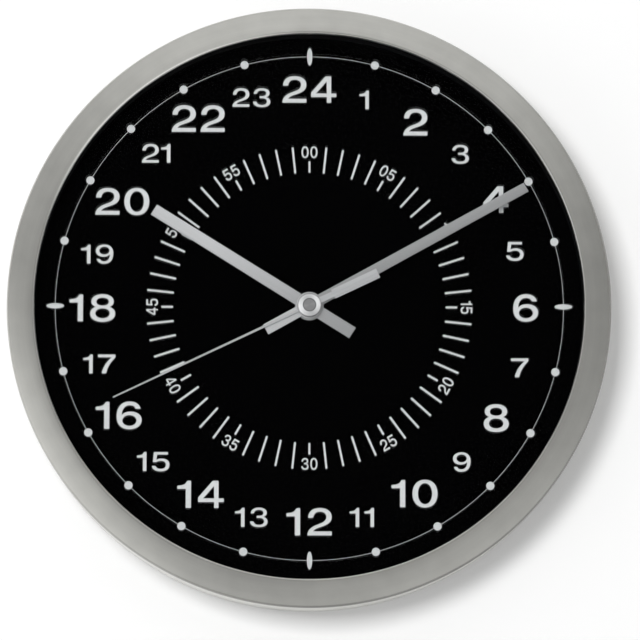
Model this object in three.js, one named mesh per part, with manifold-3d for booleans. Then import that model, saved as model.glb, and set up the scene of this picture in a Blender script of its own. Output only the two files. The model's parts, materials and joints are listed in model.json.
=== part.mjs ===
// Twenty-four hour wall clock, 300 mm across, with an aluminium rim and a quartz movement.
// Lengths are millimetres. Each piece is drawn about the axis of the hands, with x to the right,
// y up and z forward from the wall. The whole clock is then turned so that its dial faces -Y,
// and lowered so that the origin is the point where it hangs.
import * as THREE from 'three';
import { mergeVertices } from 'three/addons/utils/BufferGeometryUtils.js';
import Module from 'manifold-3d';

const wasm = await Module();
wasm.setup();

// Fits between pieces
const RUNNING_GAP = 0.3;
const STACK_GAP = 0.1;
const PRESS_GAP = 0.1;

// How far a cutting body runs past the face that it opens, and how far joined bodies overlap
const OVERRUN = 1;

// Rim, lens and dial
const OPENING_RADIUS = 136;
const FACE_WIDTH = 14;
const RIM_WALL = 2;
const LIP_THICKNESS = 2.6;
const LIP_ROUND = 1.5;
const INNER_SLOPE = 15;
const OUTER_SLOPE = 24;
const EDGE_ROUND = 1.4;
const REAR_CHAMFER = 0.8;
const LENS_OVERLAP = 3.5;
const LENS_THICKNESS = 2;
const LOCATING_RIB_WALL = 1.5;
const LOCATING_RIB_DEPTH = 5.5;
const SPACER_HEIGHT = 11;
const SPACER_SETBACK = 0.5;
const DIAL_THICKNESS = 1;

// Back cover and its screws
const COVER_RECESS = 3;
const COVER_THICKNESS = 2;
const COVER_RING_WALL = 2;
const COVER_RING_INSET = 0.7;
const COVER_COLLAR_WALL = 2;
const COVER_COLLAR_HEIGHT = 13;
const COVER_RIB_COUNT = 8;
const COVER_RIB_WALL = 1.6;
const COVER_RIB_HEIGHT = 7;
const MOVEMENT_ROOM = 3;
const SCREW_COUNT = 6;
const SCREW_RADIUS = 1.4;
const SCREW_HEAD_RADIUS = 3;
const SCREW_HEAD_THICKNESS = 1.8;
const SCREW_GRIP = 8;
const BOSS_DIAL_GAP = 0.5;

// Keyhole hanger
const HANGER_HEIGHT = 112;
const HANGER_WIDTH = 48;
const HANGER_ABOVE = 10;
const HANGER_BELOW = 20;
const HANGER_THICKNESS = 1;
const HANGER_CORNER = 4;
const SLOT_WIDTH = 5;
const SLOT_LENGTH = 11;
const ENTRY_RADIUS = 5;
const POCKET_MARGIN = 3;
const POCKET_DEPTH = 8;
const POCKET_WALL = 1.5;
const HANGER_SCREW_SPACING = 34;
const HANGER_SCREW_RADIUS = 1.2;
const HANGER_SCREW_HEAD_RADIUS = 2.4;
const HANGER_SCREW_HEAD_THICKNESS = 1.2;
const HANGER_SCREW_GRIP = 5;
const HANGER_BOSS_WALL = 1.6;
const HANGER_BOSS_TIP = 1;

// Movement shell
const MOVEMENT_DEPTH = 8;
const MOVEMENT_TOP = 28;
const MOVEMENT_CORNER = 2;
const PLATE_THICKNESS = 1.4;
const BAY_WALL = 1;
const SHELL_WALL = 1.1;
const WHEEL_ROOM = 0.5;
const CLIP_WALL = 0.9;
const CLIP_WIDTH = 6;
const CLIP_REACH = 5;
const CLIP_HEIGHTS = [0, 18];

// Gear train: teeth, spacing of the axes and the thickness of a wheel
const HOUR_TEETH = 36;
const MOTION_PINION_LEAVES = 6;
const MOTION_TEETH = 32;
const CANNON_LEAVES = 8;
const CENTRE_TEETH = 48;
const THIRD_PINION_LEAVES = 6;
const THIRD_TEETH = 45;
const SECOND_PINION_LEAVES = 6;
const SECOND_TEETH = 30;
const INTERMEDIATE_PINION_LEAVES = 6;
const INTERMEDIATE_TEETH = 36;
const ROTOR_LEAVES = 6;
const MOTION_SPACING = 11.5;
const MOTION_BEARING = 160;
const THIRD_SPACING = 11.22;
const THIRD_BEARING = 20;
const INTERMEDIATE_SPACING = 11.52;
const INTERMEDIATE_BEARING = 90;
const ROTOR_SPACING = 9.66;
const ROTOR_BEARING = 30;
const WHEEL_THICKNESS = 1.2;
const LAYER_GAP = 0.5;
const TOOTH_TIP = 0.95;
const TOOTH_ROOT = 1.3;
const WHEEL_TOOTH = { root: 0.6, tip: 0.2 };
const LEAF = { root: 0.5, tip: 0.16 };
const ARBOR_RADIUS = 0.5;
const PIVOT_RADIUS = 0.35;
const PIVOT_LENGTH = 0.8;
const MOTION_ARBOR_RADIUS = 0.6;
const CLUTCH_THICKNESS = 0.25;
const CLUTCH_RADIUS = 4.6;

// Shafts that carry the hands, from the inside out
const SECOND_SHAFT_RADIUS = 0.7;
const TUBE_WALL = 0.6;
const BUSHING_WALL = 0.7;
const BUSHING_FLANGE_RADIUS = 6;
const BUSHING_FLANGE_THICKNESS = 0.8;
const BUSHING_SPARE_THREAD = 1;
const GASKET_RADIUS = 13;
const GASKET_THICKNESS = 1.2;
const WASHER_RADIUS = 5.8;
const WASHER_THICKNESS = 0.6;
const NUT_ACROSS_FLATS = 10;
const NUT_THICKNESS = 2.2;

// Setting knob
const KNOB_RADIUS = 5.8;
const KNOB_FLUTES = 16;
const KNOB_FLUTE_DEPTH = 0.5;
const KNOB_DISC = 2.4;
const KNOB_LENGTH = 4.7;
const KNOB_NECK_RADIUS = 2.4;
const KNOB_GRIP = 3.4;

// Stepping motor and electrics
const MAGNET_RADIUS = 2.6;
const MAGNET_THICKNESS = 2.2;
const MAGNET_AIR_GAP = 0.4;
const STATOR_THICKNESS = 1;
const STATOR_LEG = 4;
const STATOR_BAND = 1.1;
const STATOR_SIDE = 1;
const COIL_LENGTH = 16;
const COIL_RADIUS = 2.8;
const COIL_FLANGE_RADIUS = 3.2;
const COIL_FLANGE = 0.8;
const COIL_CORE_RADIUS = 1;
const BOARD_THICKNESS = 1;
const BOARD_WIDTH = 23;
const BOARD_HEIGHT = 12;
const CRYSTAL_RADIUS = 1;
const CRYSTAL_LENGTH = 6;
const CONTACT_THICKNESS = 0.4;
const CONTACT_WIDTH = 5;
const CONTACT_ROOM = 1.65;
const CONTACT_OVERLAP = 2;

// Battery: one AA cell
const CELL_RADIUS = 7.25;
const CELL_LENGTH = 50.5;
const CELL_NUB_RADIUS = 2.7;
const CELL_NUB_LENGTH = 1.2;
const CELL_ROUND = 0.8;

// Hands, as lengths from their axis, with their rest angles clockwise from the top
const HAND_THICKNESS = 0.8;
const HAND_GAP = 1;
const HOUR_HAND = { angle: 302, length: 91.4, tail: 25.3, tipWidth: 5.8, tailWidth: 6.2, hub: 7.1 };
const MINUTE_HAND = { angle: 61, length: 123.7, tail: 24.8, tipWidth: 5, tailWidth: 5.6, hub: 6.5 };
const SECOND_HAND_ANGLE = 244.6;
const NEEDLE_LENGTH = 107.5;
const NEEDLE_WIDTH = 1.2;
const NEEDLE_TIP_WIDTH = 0.7;
const NECK_WIDTH = 3;
const NECK_END = 13;
const BLADE_WIDTH = 5;
const BLADE_END = 37.8;
const SECOND_HAND_THICKNESS = 0.5;
const SECOND_HAND_BOSS = 5;
const HUB_RADIUS = 6;
const HUB_HEIGHT = 1.7;
const HUB_EDGE = 0.5;
const HUB_ROUND = 2.1;
const HUB_CENTRE_RADIUS = 3.3;
const HUB_CENTRE_RECESS = 0.3;

// Facets round a full turn
const RIM_FACETS = 72;
const DISC_FACETS = 48;
const TUBE_FACETS = 16;
const HUB_FACETS = 20;
const ROD_FACETS = 12;
const FINE_FACETS = 8;
const CURVE_POINTS = 3;

// Radii that follow from the opening
const lensRadius = OPENING_RADIUS + LENS_OVERLAP;
const caseRadius = OPENING_RADIUS + FACE_WIDTH;
const caseInnerRadius = caseRadius - RIM_WALL;
const bossRadius = (caseInnerRadius - lensRadius - BOSS_DIAL_GAP) / 2;
const screwCircle = caseInnerRadius - bossRadius;

// Depths of the movement's layers, from the wall forward
const coverPlateFront = MOVEMENT_DEPTH + PLATE_THICKNESS;
const electricsDepth = coverPlateFront + RUNNING_GAP;
const magnetFront = electricsDepth + MAGNET_THICKNESS;
const firstLayer = magnetFront + 2 * RUNNING_GAP;
const LAYER = { intermediate: 0, second: 1, third: 2, centre: 3, motion: 4, hour: 5 };
const plateRear = layerFront(LAYER.hour) + RUNNING_GAP + STACK_GAP;
const movementFront = plateRear + PLATE_THICKNESS;

// Depths of what stands on the movement, up to the front of the rim
const dialRear = movementFront + STACK_GAP + GASKET_THICKNESS + STACK_GAP;
const dialFront = dialRear + DIAL_THICKNESS;
const washerRear = dialFront + STACK_GAP;
const nutRear = washerRear + WASHER_THICKNESS + STACK_GAP;
const bushingFront = nutRear + NUT_THICKNESS + BUSHING_SPARE_THREAD;
const hourHandRear = bushingFront + RUNNING_GAP + STACK_GAP;
const minuteHandRear = hourHandRear + HAND_THICKNESS + HAND_GAP;
const secondHandRear = minuteHandRear + HAND_THICKNESS + HAND_GAP;
const hubRear = secondHandRear + SECOND_HAND_THICKNESS + STACK_GAP;
const spacerRear = dialFront + STACK_GAP;
const lensRear = spacerRear + SPACER_HEIGHT + STACK_GAP;
const lipRear = lensRear + LENS_THICKNESS + STACK_GAP;
const caseDepth = lipRear + LIP_THICKNESS;
const coverFront = COVER_RECESS + COVER_THICKNESS;

// Radii of the nested shafts
const minuteTubeBore = SECOND_SHAFT_RADIUS + RUNNING_GAP;
const minuteTubeRadius = minuteTubeBore + TUBE_WALL;
const hourTubeBore = minuteTubeRadius + RUNNING_GAP;
const hourTubeRadius = hourTubeBore + TUBE_WALL;
const bushingBore = hourTubeRadius + RUNNING_GAP;
const bushingRadius = bushingBore + BUSHING_WALL;
const bushingHole = bushingRadius + RUNNING_GAP;

// Places of the axes
const motionAxis = polar(MOTION_SPACING, radians(MOTION_BEARING));
const thirdAxis = polar(THIRD_SPACING, radians(THIRD_BEARING));
const intermediateAxis = polar(INTERMEDIATE_SPACING, radians(INTERMEDIATE_BEARING));
const rotorAxis = intermediateAxis.clone().add(polar(ROTOR_SPACING, radians(ROTOR_BEARING)));
const handAxis = new THREE.Vector2(0, 0);

// Outline of the movement: the wheels above a divider, the cell in a bay below it
const widestWheel = toothTip(CENTRE_TEETH, gearModule(THIRD_SPACING, CENTRE_TEETH, THIRD_PINION_LEAVES));
const dividerTop = -(widestWheel + WHEEL_ROOM);
const bayTop = dividerTop - BAY_WALL;
const cellHeight = bayTop - RUNNING_GAP - CELL_RADIUS;
const bayBottom = cellHeight - CELL_RADIUS - RUNNING_GAP;
const movementBottom = bayBottom - BAY_WALL;
const cellDepth = plateRear - RUNNING_GAP - CELL_RADIUS;
const bayHalfLength = CELL_LENGTH / 2 + CONTACT_ROOM;
const movementHalfWidth = bayHalfLength + SHELL_WALL;
const cavityTop = MOVEMENT_TOP - SHELL_WALL;

// Materials
const aluminium = () => finish('#a6a7a1', 0.38, 1);
const brushedHand = () => finish('#c3c5c6', 0.35, 1);
const greyHand = () => finish('#9b9d9e', 0.38, 1);
const blackPaint = () => finish('#0d0e10', 0.6, 0);
const blackPlastic = () => finish('#17181a', 0.55, 0);
const glass = () => finish('#dfe6e6', 0.05, 0);
const steel = () => finish('#b9bbbd', 0.35, 1);
const brass = () => finish('#b79a55', 0.35, 1);
const rubber = () => finish('#1a1a1b', 0.9, 0);
const ivoryPlastic = () => finish('#e4e1d5', 0.5, 0);
const greyPlastic = () => finish('#8d9093', 0.5, 0);
const copper = () => finish('#a8622f', 0.4, 1);
const board = () => finish('#3c6a45', 0.6, 0);
const cellJacket = () => finish('#6f7579', 0.4, 0.3);

function finish(color, roughness, metalness) {
  return new THREE.MeshStandardMaterial({ color, roughness, metalness });
}

// Small arithmetic
function radians(degrees) {
  return THREE.MathUtils.degToRad(degrees);
}

function polar(radius, angle) {
  return new THREE.Vector2(radius * Math.cos(angle), radius * Math.sin(angle));
}

function layerRear(layer) {
  return firstLayer + layer * (WHEEL_THICKNESS + LAYER_GAP);
}

function layerFront(layer) {
  return layerRear(layer) + WHEEL_THICKNESS;
}

// Two wheels that mesh share the module that their spacing gives them.
function gearModule(spacing, teeth, otherTeeth) {
  return 2 * spacing / (teeth + otherTeeth);
}

function toothTip(teeth, module) {
  return module * (teeth / 2 + TOOTH_TIP);
}

// Solids
function solid(geometry) {
  const bare = geometry.clone();
  bare.deleteAttribute('normal');
  bare.deleteAttribute('uv');
  const merged = mergeVertices(bare);
  const corners = merged.index.array;
  const kept = [];
  for (let i = 0; i < corners.length; i += 3) {
    const [a, b, c] = corners.slice(i, i + 3);
    if (a !== b && b !== c && c !== a) {
      kept.push(a, b, c);
    }
  }
  const vertProperties = Float32Array.from(merged.attributes.position.array);
  const triVerts = Uint32Array.from(kept);
  return new wasm.Manifold(new wasm.Mesh({ numProp: 3, vertProperties, triVerts }));
}

function geometryOf(body) {
  const mesh = body.getMesh();
  const geometry = new THREE.BufferGeometry();
  geometry.setAttribute('position', new THREE.BufferAttribute(mesh.vertProperties, 3));
  geometry.setIndex(new THREE.BufferAttribute(mesh.triVerts, 1));
  geometry.computeVertexNormals();
  return geometry;
}

function piece(name, body, material, place = handAxis, turn = 0) {
  const mesh = new THREE.Mesh(geometryOf(body), material);
  mesh.name = name;
  mesh.position.set(place.x, place.y, 0);
  mesh.rotation.z = turn;
  return mesh;
}

function join(bodies) {
  return bodies.reduce((whole, body) => whole.add(body));
}

function cut(whole, bodies) {
  return bodies.reduce((rest, body) => rest.subtract(body), whole);
}

// A closed profile of [radius, depth] points, turned about the axis.
function revolve(profile, facets) {
  const points = profile.map(([radius, depth]) => new THREE.Vector2(radius, depth));
  if (THREE.ShapeUtils.isClockWise(points)) {
    points.reverse();
  }
  points.push(points[0].clone());
  const geometry = new THREE.LatheGeometry(points, facets);
  geometry.rotateX(Math.PI / 2);
  return solid(geometry);
}

function ring(bore, radius, rear, front, facets) {
  return revolve([[bore, rear], [radius, rear], [radius, front], [bore, front]], facets);
}

function rod(radius, rear, front, facets, centre = handAxis) {
  return ring(0, radius, rear, front, facets).translate([centre.x, centre.y, 0]);
}

function prism(shape, rear, front, curveSegments = CURVE_POINTS) {
  const settings = { depth: front - rear, bevelEnabled: false, curveSegments };
  const geometry = new THREE.ExtrudeGeometry(shape, settings);
  geometry.translate(0, 0, rear);
  return solid(geometry);
}

function block(left, right, bottom, top, rear, front) {
  const geometry = new THREE.BoxGeometry(right - left, top - bottom, front - rear);
  geometry.translate((left + right) / 2, (bottom + top) / 2, (rear + front) / 2);
  return solid(geometry);
}

function roundedRectangle(left, right, bottom, top, corner) {
  const shape = new THREE.Shape();
  shape.moveTo(left + corner, bottom);
  shape.lineTo(right - corner, bottom);
  shape.absarc(right - corner, bottom + corner, corner, -Math.PI / 2, 0, false);
  shape.lineTo(right, top - corner);
  shape.absarc(right - corner, top - corner, corner, 0, Math.PI / 2, false);
  shape.lineTo(left + corner, top);
  shape.absarc(left + corner, top - corner, corner, Math.PI / 2, Math.PI, false);
  shape.lineTo(left, bottom + corner);
  shape.absarc(left + corner, bottom + corner, corner, Math.PI, 1.5 * Math.PI, false);
  return shape;
}

// A strip of even thickness along a path of points, with mitred bends.
function ribbonShape(path, thickness) {
  const last = path.length - 1;
  const normals = path.slice(1).map((point, i) => {
    const along = point.clone().sub(path[i]).normalize();
    return new THREE.Vector2(-along.y, along.x);
  });
  const mitres = path.map((point, i) => {
    const before = normals[Math.max(i - 1, 0)];
    const after = normals[Math.min(i, last - 1)];
    return before.clone().add(after).multiplyScalar(thickness / 2 / (1 + before.dot(after)));
  });
  const left = path.map((point, i) => point.clone().add(mitres[i]));
  const right = path.map((point, i) => point.clone().sub(mitres[i]));
  return new THREE.Shape([...left, ...right.reverse()]);
}

// Gears: a tooth is a trapezium whose widths are shares of the tooth pitch.
function toothedShape(teeth, rootRadius, tipRadius, tooth, firstTooth) {
  const pitch = 2 * Math.PI / teeth;
  const corners = [];
  for (let i = 0; i < teeth; i += 1) {
    const middle = firstTooth + i * pitch;
    corners.push(polar(rootRadius, middle - tooth.root * pitch / 2));
    corners.push(polar(tipRadius, middle - tooth.tip * pitch / 2));
    corners.push(polar(tipRadius, middle + tooth.tip * pitch / 2));
    corners.push(polar(rootRadius, middle + tooth.root * pitch / 2));
  }
  return new THREE.Shape(corners);
}

// firstTooth is the direction in which one tooth points. A wheel points a tooth at its pinion,
// and the pinion turns the space between two leaves towards the wheel.
function wheel(teeth, module, firstTooth, rear, front) {
  const root = module * (teeth / 2 - TOOTH_ROOT);
  const shape = toothedShape(teeth, root, toothTip(teeth, module), WHEEL_TOOTH, firstTooth);
  return prism(shape, rear, front);
}

function pinion(leaves, module, towardsWheel, rear, front) {
  const root = module * (leaves / 2 - TOOTH_ROOT);
  const firstLeaf = towardsWheel + Math.PI / leaves;
  const shape = toothedShape(leaves, root, toothTip(leaves, module), LEAF, firstLeaf);
  return prism(shape, rear, front);
}

// An arbor runs between the two plates and ends in a thinner pivot in each of them.
function arbor(radius) {
  const rear = coverPlateFront + RUNNING_GAP;
  const front = plateRear - RUNNING_GAP;
  const shaft = rod(radius, rear, front, FINE_FACETS);
  const pivots = rod(PIVOT_RADIUS, coverPlateFront - PIVOT_LENGTH, plateRear + PIVOT_LENGTH, FINE_FACETS);
  return shaft.add(pivots);
}

function pivotHole(axis) {
  const rear = coverPlateFront - PIVOT_LENGTH - RUNNING_GAP;
  const front = plateRear + PIVOT_LENGTH + RUNNING_GAP;
  return rod(PIVOT_RADIUS + RUNNING_GAP, rear, front, FINE_FACETS, axis);
}

// Rim. Its face falls from the lip to the shoulder, a little steeper towards the shoulder.
function rimProfile() {
  const ribInner = lensRadius + RUNNING_GAP;
  const inner = Math.tan(radians(INNER_SLOPE));
  const outer = Math.tan(radians(OUTER_SLOPE));
  const faceStart = OPENING_RADIUS + LIP_ROUND;
  const faceEnd = caseRadius - EDGE_ROUND;
  const halfFace = (faceEnd - faceStart) / 2;
  const crest = caseDepth - LIP_ROUND * inner;
  const middle = crest - halfFace * inner;
  const shoulder = middle - halfFace * outer;
  const shape = new THREE.Shape();
  shape.moveTo(caseInnerRadius, 0);
  shape.lineTo(caseRadius - REAR_CHAMFER, 0);
  shape.lineTo(caseRadius, REAR_CHAMFER);
  shape.lineTo(caseRadius, shoulder - 2 * EDGE_ROUND);
  shape.quadraticCurveTo(caseRadius, shoulder - EDGE_ROUND * outer, faceEnd, shoulder);
  shape.quadraticCurveTo(faceStart + halfFace, middle, faceStart, crest);
  shape.quadraticCurveTo(OPENING_RADIUS, caseDepth, OPENING_RADIUS, caseDepth - LIP_ROUND);
  shape.lineTo(OPENING_RADIUS, lipRear);
  shape.lineTo(ribInner, lipRear);
  shape.lineTo(ribInner, lipRear - LOCATING_RIB_DEPTH);
  shape.lineTo(ribInner + LOCATING_RIB_WALL, lipRear - LOCATING_RIB_DEPTH);
  shape.lineTo(ribInner + LOCATING_RIB_WALL, lipRear);
  shape.lineTo(caseInnerRadius, shoulder - 2 * EDGE_ROUND);
  return shape.getPoints(CURVE_POINTS).map((point) => [point.x, point.y]);
}

// A boss is a round post, joined to the wall behind it by a flat-sided web.
function screwBoss() {
  const shape = new THREE.Shape();
  const reach = bossRadius + RIM_WALL / 2;
  shape.moveTo(reach, -bossRadius);
  shape.lineTo(reach, bossRadius);
  shape.absarc(0, 0, bossRadius, Math.PI / 2, 1.5 * Math.PI, false);
  return prism(shape, coverFront + STACK_GAP, lipRear - LOCATING_RIB_DEPTH - STACK_GAP);
}

function aroundScrewCircle(body) {
  const copies = [];
  for (let i = 0; i < SCREW_COUNT; i += 1) {
    const angle = (i + 0.5) * 360 / SCREW_COUNT;
    copies.push(body.translate([screwCircle, 0, 0]).rotate([0, 0, angle]));
  }
  return copies;
}

function caseRim() {
  const shell = revolve(rimProfile(), RIM_FACETS);
  const depth = coverFront + SCREW_GRIP + RUNNING_GAP;
  const hole = rod(SCREW_RADIUS + RUNNING_GAP, COVER_RECESS, depth, FINE_FACETS);
  return cut(join([shell, ...aroundScrewCircle(screwBoss())]), aroundScrewCircle(hole));
}

function glassLens() {
  return rod(lensRadius, lensRear, lensRear + LENS_THICKNESS, DISC_FACETS);
}

function spacerRing() {
  const bore = OPENING_RADIUS + SPACER_SETBACK;
  return ring(bore, lensRadius, spacerRear, spacerRear + SPACER_HEIGHT, DISC_FACETS);
}

function dialPlate() {
  return ring(bushingHole, lensRadius, dialRear, dialFront, DISC_FACETS);
}

// Back cover
function coverShell() {
  const outer = caseInnerRadius - RUNNING_GAP;
  const ringOuter = lensRadius - COVER_RING_INSET;
  const ringInner = ringOuter - COVER_RING_WALL;
  const ringFront = dialRear - STACK_GAP;
  const plate = [[0, COVER_RECESS], [outer, COVER_RECESS], [outer, coverFront], [ringOuter, coverFront]];
  const wall = [[ringOuter, ringFront], [ringInner, ringFront], [ringInner, coverFront], [0, coverFront]];
  return revolve([...plate, ...wall], DISC_FACETS);
}

function apertureEdges(margin) {
  const side = movementHalfWidth + MOVEMENT_ROOM + margin;
  return [-side, side, movementBottom - MOVEMENT_ROOM - margin, MOVEMENT_TOP + MOVEMENT_ROOM + margin];
}

function coverRibs() {
  const wallMiddle = movementHalfWidth + MOVEMENT_ROOM + COVER_COLLAR_WALL / 2;
  const start = wallMiddle / Math.cos(Math.PI / COVER_RIB_COUNT);
  const end = lensRadius - COVER_RING_INSET - COVER_RING_WALL / 2;
  const front = coverFront + COVER_RIB_HEIGHT;
  const half = COVER_RIB_WALL / 2;
  const rib = block(start, end, -half, half, coverFront - COVER_THICKNESS / 2, front);
  const ribs = [];
  for (let i = 0; i < COVER_RIB_COUNT; i += 1) {
    ribs.push(rib.rotate([0, 0, (i + 0.5) * 360 / COVER_RIB_COUNT]));
  }
  return ribs;
}

// The pocket gives the wall screw's head room behind the keyhole, and keeps the case closed.
function pocketBlock(margin, rear, front) {
  const half = ENTRY_RADIUS + POCKET_MARGIN + margin;
  const top = HANGER_HEIGHT + SLOT_WIDTH / 2 + POCKET_MARGIN + margin;
  const bottom = HANGER_HEIGHT - SLOT_LENGTH - ENTRY_RADIUS - POCKET_MARGIN - margin;
  return block(-half, half, bottom, top, rear, front);
}

function hangerScrewPlaces() {
  const height = HANGER_HEIGHT - SLOT_LENGTH / 2;
  return [-1, 1].map((side) => new THREE.Vector2(side * HANGER_SCREW_SPACING / 2, height));
}

function backCover() {
  const middle = coverFront - COVER_THICKNESS / 2;
  const collar = prism(roundedRectangle(...apertureEdges(COVER_COLLAR_WALL), 3), middle,
    coverFront + COVER_COLLAR_HEIGHT);
  const aperture = prism(roundedRectangle(...apertureEdges(0), 2), 0, dialRear);
  const pocket = pocketBlock(POCKET_WALL, middle, COVER_RECESS + POCKET_DEPTH + POCKET_WALL);
  const bossTip = coverFront + HANGER_SCREW_GRIP + HANGER_BOSS_TIP;
  const bossRound = HANGER_SCREW_RADIUS + RUNNING_GAP + HANGER_BOSS_WALL;
  const bosses = hangerScrewPlaces().map((spot) => rod(bossRound, middle, bossTip, ROD_FACETS, spot));
  const whole = join([coverShell(), collar, pocket, ...coverRibs(), ...bosses]);
  const holeTip = coverFront + HANGER_SCREW_GRIP + RUNNING_GAP;
  const hangerHole = HANGER_SCREW_RADIUS + RUNNING_GAP;
  const holes = hangerScrewPlaces().map((spot) => rod(hangerHole, 0, holeTip, FINE_FACETS, spot));
  const screwHole = rod(SCREW_RADIUS + RUNNING_GAP, 0, coverFront + OVERRUN, FINE_FACETS);
  const window = pocketBlock(0, 0, COVER_RECESS + POCKET_DEPTH);
  return cut(whole, [aperture, window, ...holes, ...aroundScrewCircle(screwHole)]);
}

// A pan-head screw that is driven forward, its head under the face that it holds.
function panScrew(radius, headRadius, headThickness, seat, tip) {
  const headRear = seat - headThickness;
  const head = [[0, headRear], [0.8 * headRadius, headRear], [headRadius, seat - headThickness / 2]];
  const shank = [[headRadius, seat], [radius, seat], [radius, tip - radius], [0, tip]];
  return revolve([...head, ...shank], FINE_FACETS);
}

function coverScrews() {
  const seat = COVER_RECESS - STACK_GAP;
  const tip = coverFront + SCREW_GRIP;
  const screw = panScrew(SCREW_RADIUS, SCREW_HEAD_RADIUS, SCREW_HEAD_THICKNESS, seat, tip);
  return aroundScrewCircle(screw).map((body, i) => piece(`cover_screw_${i + 1}`, body, steel()));
}

// Hanger
function keyholePath() {
  const half = SLOT_WIDTH / 2;
  const entry = HANGER_HEIGHT - SLOT_LENGTH;
  const mouth = Math.asin(half / ENTRY_RADIUS);
  const path = new THREE.Path();
  path.absarc(0, entry, ENTRY_RADIUS, Math.PI / 2 + mouth, 2.5 * Math.PI - mouth, false);
  path.absarc(0, HANGER_HEIGHT, half, 0, Math.PI, false);
  path.closePath();
  return path;
}

function hangerPlate() {
  const half = HANGER_WIDTH / 2;
  const bottom = HANGER_HEIGHT - HANGER_BELOW;
  const top = HANGER_HEIGHT + HANGER_ABOVE;
  const shape = roundedRectangle(-half, half, bottom, top, HANGER_CORNER);
  shape.holes.push(keyholePath());
  const front = COVER_RECESS - STACK_GAP;
  const plate = prism(shape, front - HANGER_THICKNESS, front, 2 * CURVE_POINTS);
  const hole = HANGER_SCREW_RADIUS + RUNNING_GAP;
  return cut(plate, hangerScrewPlaces().map((spot) => rod(hole, 0, coverFront, FINE_FACETS, spot)));
}

function hangerScrews() {
  const seat = COVER_RECESS - STACK_GAP - HANGER_THICKNESS - STACK_GAP;
  const tip = coverFront + HANGER_SCREW_GRIP;
  const screw = panScrew(HANGER_SCREW_RADIUS, HANGER_SCREW_HEAD_RADIUS, HANGER_SCREW_HEAD_THICKNESS,
    seat, tip);
  return hangerScrewPlaces().map((spot, i) => piece(`hanger_screw_${i + 1}`, screw, steel(), spot));
}

// Movement shell
function movementBase() {
  const side = movementHalfWidth;
  const outline = roundedRectangle(-side, side, movementBottom, MOVEMENT_TOP, MOVEMENT_CORNER);
  const shell = prism(outline, MOVEMENT_DEPTH, movementFront);
  const step = (dividerTop + bayTop) / 2;
  const far = 2 * side;
  const coverSeat = block(-far, far, step, far, 0, coverPlateFront + RUNNING_GAP);
  const cavity = block(-bayHalfLength, bayHalfLength, dividerTop, cavityTop, 0, plateRear);
  const bay = block(-bayHalfLength, bayHalfLength, bayBottom, bayTop, 0, plateRear);
  const notchFront = contactFront() + RUNNING_GAP;
  const notchWidth = CONTACT_THICKNESS + 2 * RUNNING_GAP;
  const notches = [-1, 1].map((end) => {
    const outer = end * bayHalfLength;
    const inner = end * (bayHalfLength - notchWidth);
    const [left, right] = [Math.min(outer, inner), Math.max(outer, inner)];
    return block(left, right, bayTop - OVERRUN, dividerTop + OVERRUN, 0, notchFront);
  });
  const pivots = [motionAxis, thirdAxis, intermediateAxis, rotorAxis].map(pivotHole);
  const shaftHole = rod(bushingHole, 0, movementFront + OVERRUN, TUBE_FACETS);
  return cut(shell, [coverSeat, cavity, bay, ...notches, ...pivots, shaftHole]);
}

function movementCover() {
  const side = movementHalfWidth;
  const bottom = (dividerTop + bayTop) / 2 + RUNNING_GAP;
  const outline = roundedRectangle(-side, side, bottom, MOVEMENT_TOP, MOVEMENT_CORNER);
  const plate = prism(outline, MOVEMENT_DEPTH, coverPlateFront);
  const clips = [];
  for (const height of CLIP_HEIGHTS) {
    clips.push(clip(height), clip(height).mirror([1, 0, 0]));
  }
  const pivots = [handAxis, thirdAxis, intermediateAxis, rotorAxis].map(pivotHole);
  const arborGap = MOTION_ARBOR_RADIUS + RUNNING_GAP;
  const arborHole = rod(arborGap, 0, coverPlateFront + OVERRUN, FINE_FACETS, motionAxis);
  return cut(join([plate, ...clips]), [...pivots, arborHole]);
}

// A clip reaches round the side of the movement from the edge of its cover.
function clip(height) {
  const inner = movementHalfWidth + RUNNING_GAP;
  const outer = inner + CLIP_WALL;
  const root = movementHalfWidth - SHELL_WALL;
  const low = height - CLIP_WIDTH / 2;
  const high = height + CLIP_WIDTH / 2;
  const arm = block(inner, outer, low, high, MOVEMENT_DEPTH, MOVEMENT_DEPTH + CLIP_REACH);
  return arm.add(block(root, outer, low, high, MOVEMENT_DEPTH, coverPlateFront));
}

// Bushing, gasket, washer and nut, which clamp the movement to the dial
function centreBushing() {
  const rear = plateRear + STACK_GAP;
  const flangeRear = movementFront + STACK_GAP;
  const flangeFront = flangeRear + BUSHING_FLANGE_THICKNESS;
  const bore = [[bushingBore, bushingFront], [bushingBore, rear]];
  const stem = [[bushingRadius, rear], [bushingRadius, flangeRear]];
  const flange = [[BUSHING_FLANGE_RADIUS, flangeRear], [BUSHING_FLANGE_RADIUS, flangeFront]];
  const thread = [[bushingRadius, flangeFront], [bushingRadius, bushingFront]];
  return revolve([...bore, ...stem, ...flange, ...thread], TUBE_FACETS);
}

function rubberGasket() {
  const rear = movementFront + STACK_GAP;
  const bore = BUSHING_FLANGE_RADIUS + RUNNING_GAP;
  return ring(bore, GASKET_RADIUS, rear, rear + GASKET_THICKNESS, HUB_FACETS);
}

function washer() {
  return ring(bushingHole, WASHER_RADIUS, washerRear, washerRear + WASHER_THICKNESS, TUBE_FACETS);
}

function hexNut() {
  const cornerRadius = NUT_ACROSS_FLATS / 2 / Math.cos(Math.PI / 6);
  const hexagon = ring(0, cornerRadius, nutRear, nutRear + NUT_THICKNESS, 6);
  return hexagon.subtract(rod(bushingHole, 0, caseDepth, TUBE_FACETS));
}

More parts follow.
